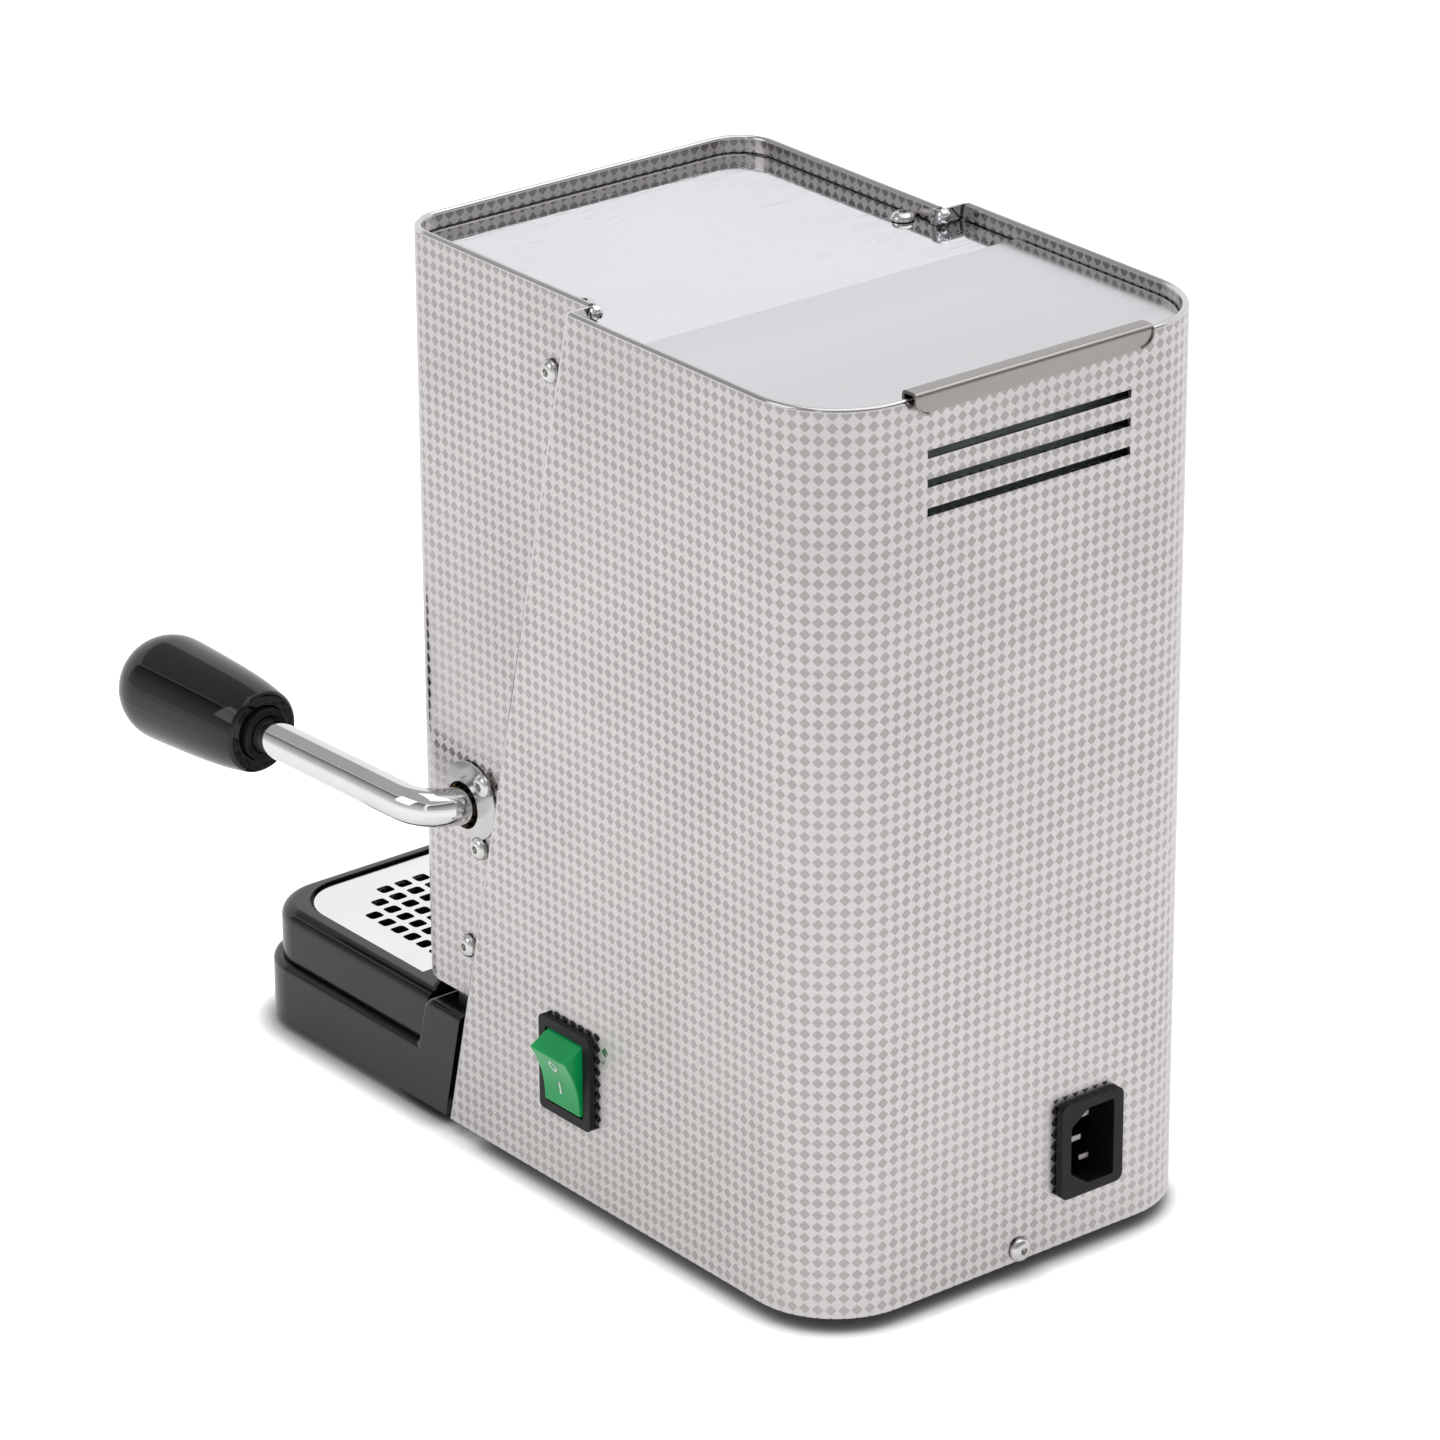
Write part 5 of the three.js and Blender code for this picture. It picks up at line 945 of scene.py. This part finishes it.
def makeInlet():
    size = {"flange": (24, 31, 2.6, 6), "near": 0.3, "far": 2.8, "socket": (8.3, 12.3), "chamfer": (6.6, 4.7),
            "corner": (0.8, 3), "depth": 18.5, "body": (20, 27.4), "bodyDepth": 24, "overlap": 0.1}
    halfX, halfZ = size["socket"]
    cutX, cutZ = size["chamfer"]
    near, far = size["near"], size["far"]
    spots = [(-halfX, -halfZ), (halfX - cutX, -halfZ), (halfX, cutZ - halfZ)]
    opening = [(x, z, *size["corner"]) for x, z in spots + [(x, -z) for x, z in reversed(spots)]]
    bm = plate(centredCorners(*size["flange"]), near, far, [opening])
    soften(bm, 0.6, 3, above(far))
    wall = centredCorners(*size["body"], *size["corner"])
    addMesh(bm, plate(wall, far - size["depth"], near + size["overlap"], [opening]))
    addMesh(bm, plate(wall, -size["bodyDepth"], far - size["depth"]))
    finished(stoodUp(bm, inlet["x"], inlet["z"]), "housing", "inlet_body", "black_plastic", "mattBlack")


def makePins():
    size = {"pins": {"live": (-1.8, 7), "earth": (1.4, 0), "neutral": (-1.8, -7)}, "blade": (4, 2), "tip": -3,
            "back": -31}
    for label, (across, up) in size["pins"].items():
        bm = plate(centredCorners(*size["blade"]), size["back"], size["tip"])
        soften(bm, 0.35, 3, above(size["tip"]))
        # the pins take the steel with painted shade, for their place in the inlet's socket
        finished(stoodUp(bm, inlet["x"] + across, inlet["z"] + up), "housing", f"inlet_pin_{label}",
                 "polished_steel", "shadedSteel")


makeBezel()
makeRocker()
makeInlet()
makePins()
print("switch and inlet made")


# brew group on the front

group = {"y": -232.0, "bottom": 138, "top": 168}


def makeHead():
    size = {"radius": 26, "neck": 24.8, "step": (6, 7.5), "crown": 21, "arm": (-18, 18, -132, 146),
            "round": 2.4}
    radius, neck, top, bottom = size["radius"], size["neck"], group["top"], group["bottom"]
    step, end = size["step"]
    bm = turned([(0, bottom), (radius, bottom), (radius, bottom + step), (neck, bottom + end), (neck, top - 1),
                 (size["crown"], top), (0, top)], 72, 0.8, 3)
    shifted(bm, y=group["y"])
    x0, x1, rear, low = size["arm"]
    addMesh(bm, soften(plate(rectCorners(x0, x1, group["y"], rear), low, top - 0.05), size["round"], 4))
    finished(bm, "housing", "group_head", "polished_steel", "groupChrome")


def makeGasketAndScreen():
    size = {"gasket": (20.5, 25, 135.3, 137.7), "screen": (18, 136.1, 137.7), "holeRadius": 0.9,
            "holeRings": ((0, 1), (5, 6), (10, 12), (15, 18))}
    inner, outer, low, high = size["gasket"]
    bm = turned([(inner, low), (outer, low), (outer, high), (inner, high), (inner, low)], 64, 0.5, 3)
    finished(shifted(bm, y=group["y"]), "housing", "group_gasket", "red_rubber", "rubberRed")
    radius, low, high = size["screen"]
    screen = bmesh.new()
    edges = circleEdges(screen, radius, 64)
    for reach, count in size["holeRings"]:
        for index in range(count):
            angle = 2 * math.pi * index / count
            spot = Matrix.Translation((reach * math.cos(angle), reach * math.sin(angle), 0))
            edges += circleEdges(screen, size["holeRadius"], 12, spot)
    lift(screen, fillFlat(screen, edges), z=high - low)
    shifted(outward(screen), y=group["y"], z=low)
    finished(screen, "housing", "shower_screen", "satin_steel", "lidSteel")


def makePinsAndCollar():
    size = {"pins": (13.5, -197, 2.5, 108, 153.7), "opening": (33.7, 101.3, 180.7, 7.7), "flange": 8, "lip": 3,
            "near": -209.0, "far": -211.5, "lipBack": -203.6, "overlap": 0.1}
    x, y, radius, low, high = size["pins"]
    for label, side in (("right", 1), ("left", -1)):
        pin = turned([(0, low), (radius, low), (radius, high), (0, high)], 24, 0.6, 2)
        finished(shifted(pin, side * x, y), "housing", f"guide_pin_{label}", "polished_steel", "chrome")
    half, z0, z1, corner = size["opening"]
    grow, lip, near, far, back = size["flange"], size["lip"], size["near"], size["far"], size["lipBack"]
    inner = rectCorners(lip - half, half - lip, z0 + lip, z1 - lip, corner - lip, 6)
    outer = rectCorners(-half - grow, half + grow, z0 - grow, z1 + grow, corner + grow, 10)
    bm = plate(outer, near, far, [inner])
    soften(bm, 0.9, 4, lambda middle, edge: middle.z < far + hair)
    tube = plate(rectCorners(-half, half, z0, z1, corner, 8), near - size["overlap"], back, [inner])
    addMesh(bm, soften(tube, 0.4, 2, lambda middle, edge: middle.z > back - 0.1))
    finished(stoodUp(bm), "housing", "group_collar", "black_plastic", "mattBlack")


def makeCarrier():
    size = {"radius": 27, "low": 118, "high": 135, "seat": 21, "seatDepth": 9, "outlet": 5,
            "bowl": ((7, 0), (1.5, 4), (0, 9)), "arm": (-19, 19, -211.3, -174.2), "armCorner": 1.5,
            "armThick": 4.4, "guides": (13.5, -197, 2.8, 2.7), "follower": (6, -181.7, -178.7, 127.4),
            "spout": (9, 6, 3.5, 98.7, 117.7)}
    radius, seat, outlet, low, high = (size[key] for key in ("radius", "seat", "outlet", "low", "high"))
    floor, armLow = high - size["seatDepth"], high - size["armThick"]
    bowl = [(radius - inset, low + rise) for inset, rise in size["bowl"]]
    bm = turned([(outlet, floor), (outlet, low), *bowl, (radius, high), (seat, high), (seat, floor),
                 (outlet, floor)], 72, 0.7, 3)
    shifted(bm, y=group["y"])
    x0, x1, front, rear = size["arm"]
    across, along, hole, corner = size["guides"]
    holes = [rectCorners(x - hole, x + hole, along - hole, along + hole, corner, 5) for x in (-across, across)]
    arm = plate(rectCorners(x0, x1, front, rear, size["armCorner"], 3), armLow, high - 0.03, holes)
    addMesh(bm, soften(arm, 0.6, 3, lambda middle, edge: abs(middle.x) > x1 - 0.1 or middle.y > rear - 0.05))
    half, front, rear, bottom = size["follower"]
    addMesh(bm, soften(plate(rectCorners(-half, half, front, rear), bottom, armLow + 0.1), 0.3, 2))
    finished(bm, "carrier", "pod_carrier", "polished_steel", "groupChrome")
    top, tip, bore, low, high = size["spout"]
    spout = turned([(bore, high), (bore, low), (tip - 0.6, low), (tip, low + 2), (tip + 0.7, high - 9),
                    (top, high - 3), (top, high), (bore, high)], 56, 0.5, 3)
    finished(shifted(spout, y=group["y"]), "carrier", "pod_spout", "polished_steel", "groupChrome")


def makeControls():
    size = {"face": -209.0, "height": 232, "button": (-15, 7, 4.3, 7.7), "flange": (10.5, 8.8, 1.6, 17),
            "lamp": (15, 6, 3, 4.5, 14), "lampSide": 0.6}
    face, height = size["face"], size["height"]
    x, radius, out, inside = size["button"]
    wide, barrel, thick, deep = size["flange"]
    housing = turned([(0, -deep), (0, 2 - deep), (radius + 0.3, 2 - deep), (radius + 0.3, thick), (wide, thick),
                      (wide, 0), (barrel, 0), (barrel, -deep), (0, -deep)], 56, 0.35, 3)
    finished(toFront(housing, x, face, height), "housing", "brew_button_housing", "black_plastic", "mattBlack")
    button = turned([(0, -inside), (radius, -inside), (radius, out - 0.9), (radius - 0.9, out),
                     (radius - 2.2, out), (radius - 3.2, out - 0.5), (0, out - 0.7)], 56, 0.25, 2)
    finished(toFront(button, x, face, height), "button", "brew_button", "polished_steel", "chrome")
    x, radius, out, barrel, deep = size["lamp"]
    cap = dome(radius, out - size["lampSide"], size["lampSide"], 8)
    lamp = turned([(0, -deep), (barrel, -deep), (barrel, 0), (radius, 0), *cap, (0, out)], 56, 0.2, 2, 50)
    finished(toFront(lamp, x, face, height), "housing", "pilot_lamp", "amber_lens", "amberLens")


makeHead()
makeGasketAndScreen()
makePinsAndCollar()
makeCarrier()
makeControls()
print("group and controls made")

# finishes of the CAD nodes that stay
keptNodes = {
    "mirrorSteel": ("top_deck",), "copper": ("pressure_tube",), "hosePlastic": ("suction_hose",),
    "galvanised": ("chassis_floor", "side_frame_right", "side_frame_left", "lever_cam", "tank_shelf",
                   "pump_bracket"),
    "brass": ("lever_bush_right", "lever_bush_left", "boiler"), "tankPlastic": ("water_tank",),
    "mattBlack": ("thermostat", "tank_valve_seat", "pump"),
}
for label, names in keptNodes.items():
    for nodeName in names:
        for materialSlot in nodes[nodeName].material_slots:
            materialSlot.material = finish[label]
print("kept nodes finished")


# floor, light and camera, in metres

def chooseShader(tree, mask, first, second):
    return addNode(tree, "MixShader", {"Fac": mask, 1: first, 2: second}).outputs[0]


def whiteForEyes(tree, shader, seenShader):
    # camera, mirror and glass rays see the second shader; other rays see the first one
    path = addNode(tree, "LightPath").outputs
    seen = addMath(tree, "MAXIMUM", path["Is Camera Ray"], path["Is Glossy Ray"])
    seen = addMath(tree, "MAXIMUM", seen, path["Is Transmission Ray"])
    return chooseShader(tree, seen, shader, seenShader)


def stageMaterial(name):
    material, tree, shader = startMaterial(name)
    tree.nodes.remove(shader)
    return material, tree


def stagePlane(name, place, material):
    bm = bmesh.new()
    bmesh.ops.create_grid(bm, x_segments=1, y_segments=1, size=0.5, matrix=place)
    mesh = bpy.data.meshes.new(name)
    bm.to_mesh(mesh)
    bm.free()
    mesh.materials.append(material)
    plane = bpy.data.objects.new(name, mesh)
    bpy.context.scene.collection.objects.link(plane)
    return plane


def grey(tone):
    return (tone, tone, tone)


def makeFloor():
    # the camera sees a bright floor with a painted contact shadow, where ambient occlusion darkens its colour
    # near the object, and the object a plain one
    sizes = {"width": 12.0, "tone": 0.95, "glow": 0.12, "bright": 1.8, "contactShadowReach": 0.01, "contactShadowTone": 0.01,
             "depth": 2.2}
    material, tree = stageMaterial("floorWhite")
    plain = addNode(tree, "BsdfDiffuse", {"Color": (*grey(sizes["tone"]), 1)}).outputs[0]
    glow = addNode(tree, "Emission", {"Strength": sizes["glow"]}).outputs[0]
    lit = addNode(tree, "AddShader", {0: plain, 1: glow}).outputs[0]
    # painted contact shadow: ambient occlusion within a short reach darkens the floor's colour
    near = addNode(tree, "AmbientOcclusion", {"Distance": sizes["contactShadowReach"]}).outputs["AO"]
    clear = addMath(tree, "POWER", near, sizes["depth"])
    tone = mixTones(tree, clear, grey(sizes["contactShadowTone"]), grey(sizes["bright"]))
    bright = addNode(tree, "BsdfDiffuse", {"Color": tone}).outputs[0]
    camera = addNode(tree, "LightPath").outputs["Is Camera Ray"]
    surface = chooseShader(tree, camera, whiteForEyes(tree, plain, lit), bright)
    feed(tree, tree.nodes["Material Output"], {"Surface": surface})
    stagePlane("floor", Matrix.Diagonal((sizes["width"], sizes["width"], 1, 1)), material)


def makeFlag(name, place, turn, width, height, lowTone, highTone, level=False):
    # a grey studio flag that only the shiny surfaces see
    material, tree = stageMaterial(name)
    parts = addNode(tree, "SeparateXYZ", {0: addNode(tree, "TexCoord").outputs["Object"]}).outputs
    rise = addRange(tree, parts["Z"], place[2] - height / 2, place[2] + height / 2)
    shade = mixTones(tree, rise, grey(lowTone), grey(highTone))
    bounced = addMath(tree, "MINIMUM", addNode(tree, "LightPath").outputs["Diffuse Depth"], 1.0)
    glow = addNode(tree, "Emission", {"Color": mixTones(tree, bounced, shade, grey(1))}).outputs[0]
    feed(tree, tree.nodes["Material Output"], {"Surface": glow})
    stand = Matrix.Rotation(math.radians(turn), 4, "Z") @ Matrix.Rotation(0 if level else quarter, 4, "X")
    spot = Matrix.Translation(place) @ stand @ Matrix.Diagonal((width, height, 1, 1))
    flag = stagePlane(name, spot, material)
    flag.visible_camera = flag.visible_diffuse = flag.visible_shadow = flag.visible_transmission = False


def makeWorld():
    strengths = {"seen": 1.0, "light": 0.80}
    world = bpy.data.worlds.new("studio")
    bpy.context.scene.world = world
    world.use_nodes = True
    tree = world.node_tree
    tree.nodes.remove(tree.nodes["Background"])
    seen, light = (addNode(tree, "Background", {"Strength": strengths[key], "Color": (1, 1, 1, 1)}).outputs[0]
                   for key in ("seen", "light"))
    feed(tree, tree.nodes["World Output"], {"Surface": whiteForEyes(tree, light, seen)})


def makeLamp(name, place, target, size, power):
    data = bpy.data.lights.new(name, "AREA")
    data.shape = "SQUARE"
    data.size = size
    data.energy = power
    lamp = bpy.data.objects.new(name, data)
    bpy.context.scene.collection.objects.link(lamp)
    lamp.location = place
    lamp.rotation_euler = (Vector(target) - Vector(place)).to_track_quat("-Z", "Y").to_euler()
    lamp.visible_camera = False


def makeCamera():
    # the place is in body millimetres, and the three directions make the camera's axes
    view = {"place": (1168.95, 1331.56, 955.12), "lens": 170.264,
            "across": (-0.78163656, 0.62371507, -0.00487887), "up": (-0.25398897, -0.31113407, 0.91579757),
            "back": (0.56967876, 0.71706004, 0.40161051)}
    data = bpy.data.cameras.new("camera")
    data.sensor_fit = "HORIZONTAL"
    data.sensor_width = 36
    data.lens = view["lens"]
    data.clip_start = 0.05
    data.clip_end = 50
    camera = bpy.data.objects.new("camera", data)
    bpy.context.scene.collection.objects.link(camera)
    axes = Matrix((view["across"], view["up"], view["back"])).transposed()
    camera.matrix_world = Matrix.Translation(toFrame @ Vector(view["place"])) @ axes.to_4x4()
    bpy.context.scene.camera = camera


makeFloor()
makeWorld()
makeFlag("flagBehindCamera", (0, 3.0, 2.05), 0, 9.0, 2.9, 0.62, 0.04)
makeFlag("flagRight", (3.4, -2.2, 2.0), 90, 8.0, 3.4, 0.72, 0.06)
makeFlag("flagOverhead", (0.6, -1.2, 3.9), 0, 5.5, 8.0, 0.45, 0.45, True)
makeLamp("topLamp", (-0.3, 0.2, 1.7), (0, 0, 0.1), 1.6, 9)
makeLamp("sideLamp", (1.5, -0.4, 1.2), (0, 0, 0.1), 1.0, 4)
makeCamera()
bpy.context.scene.view_settings.view_transform = "Standard"

print("stage made")
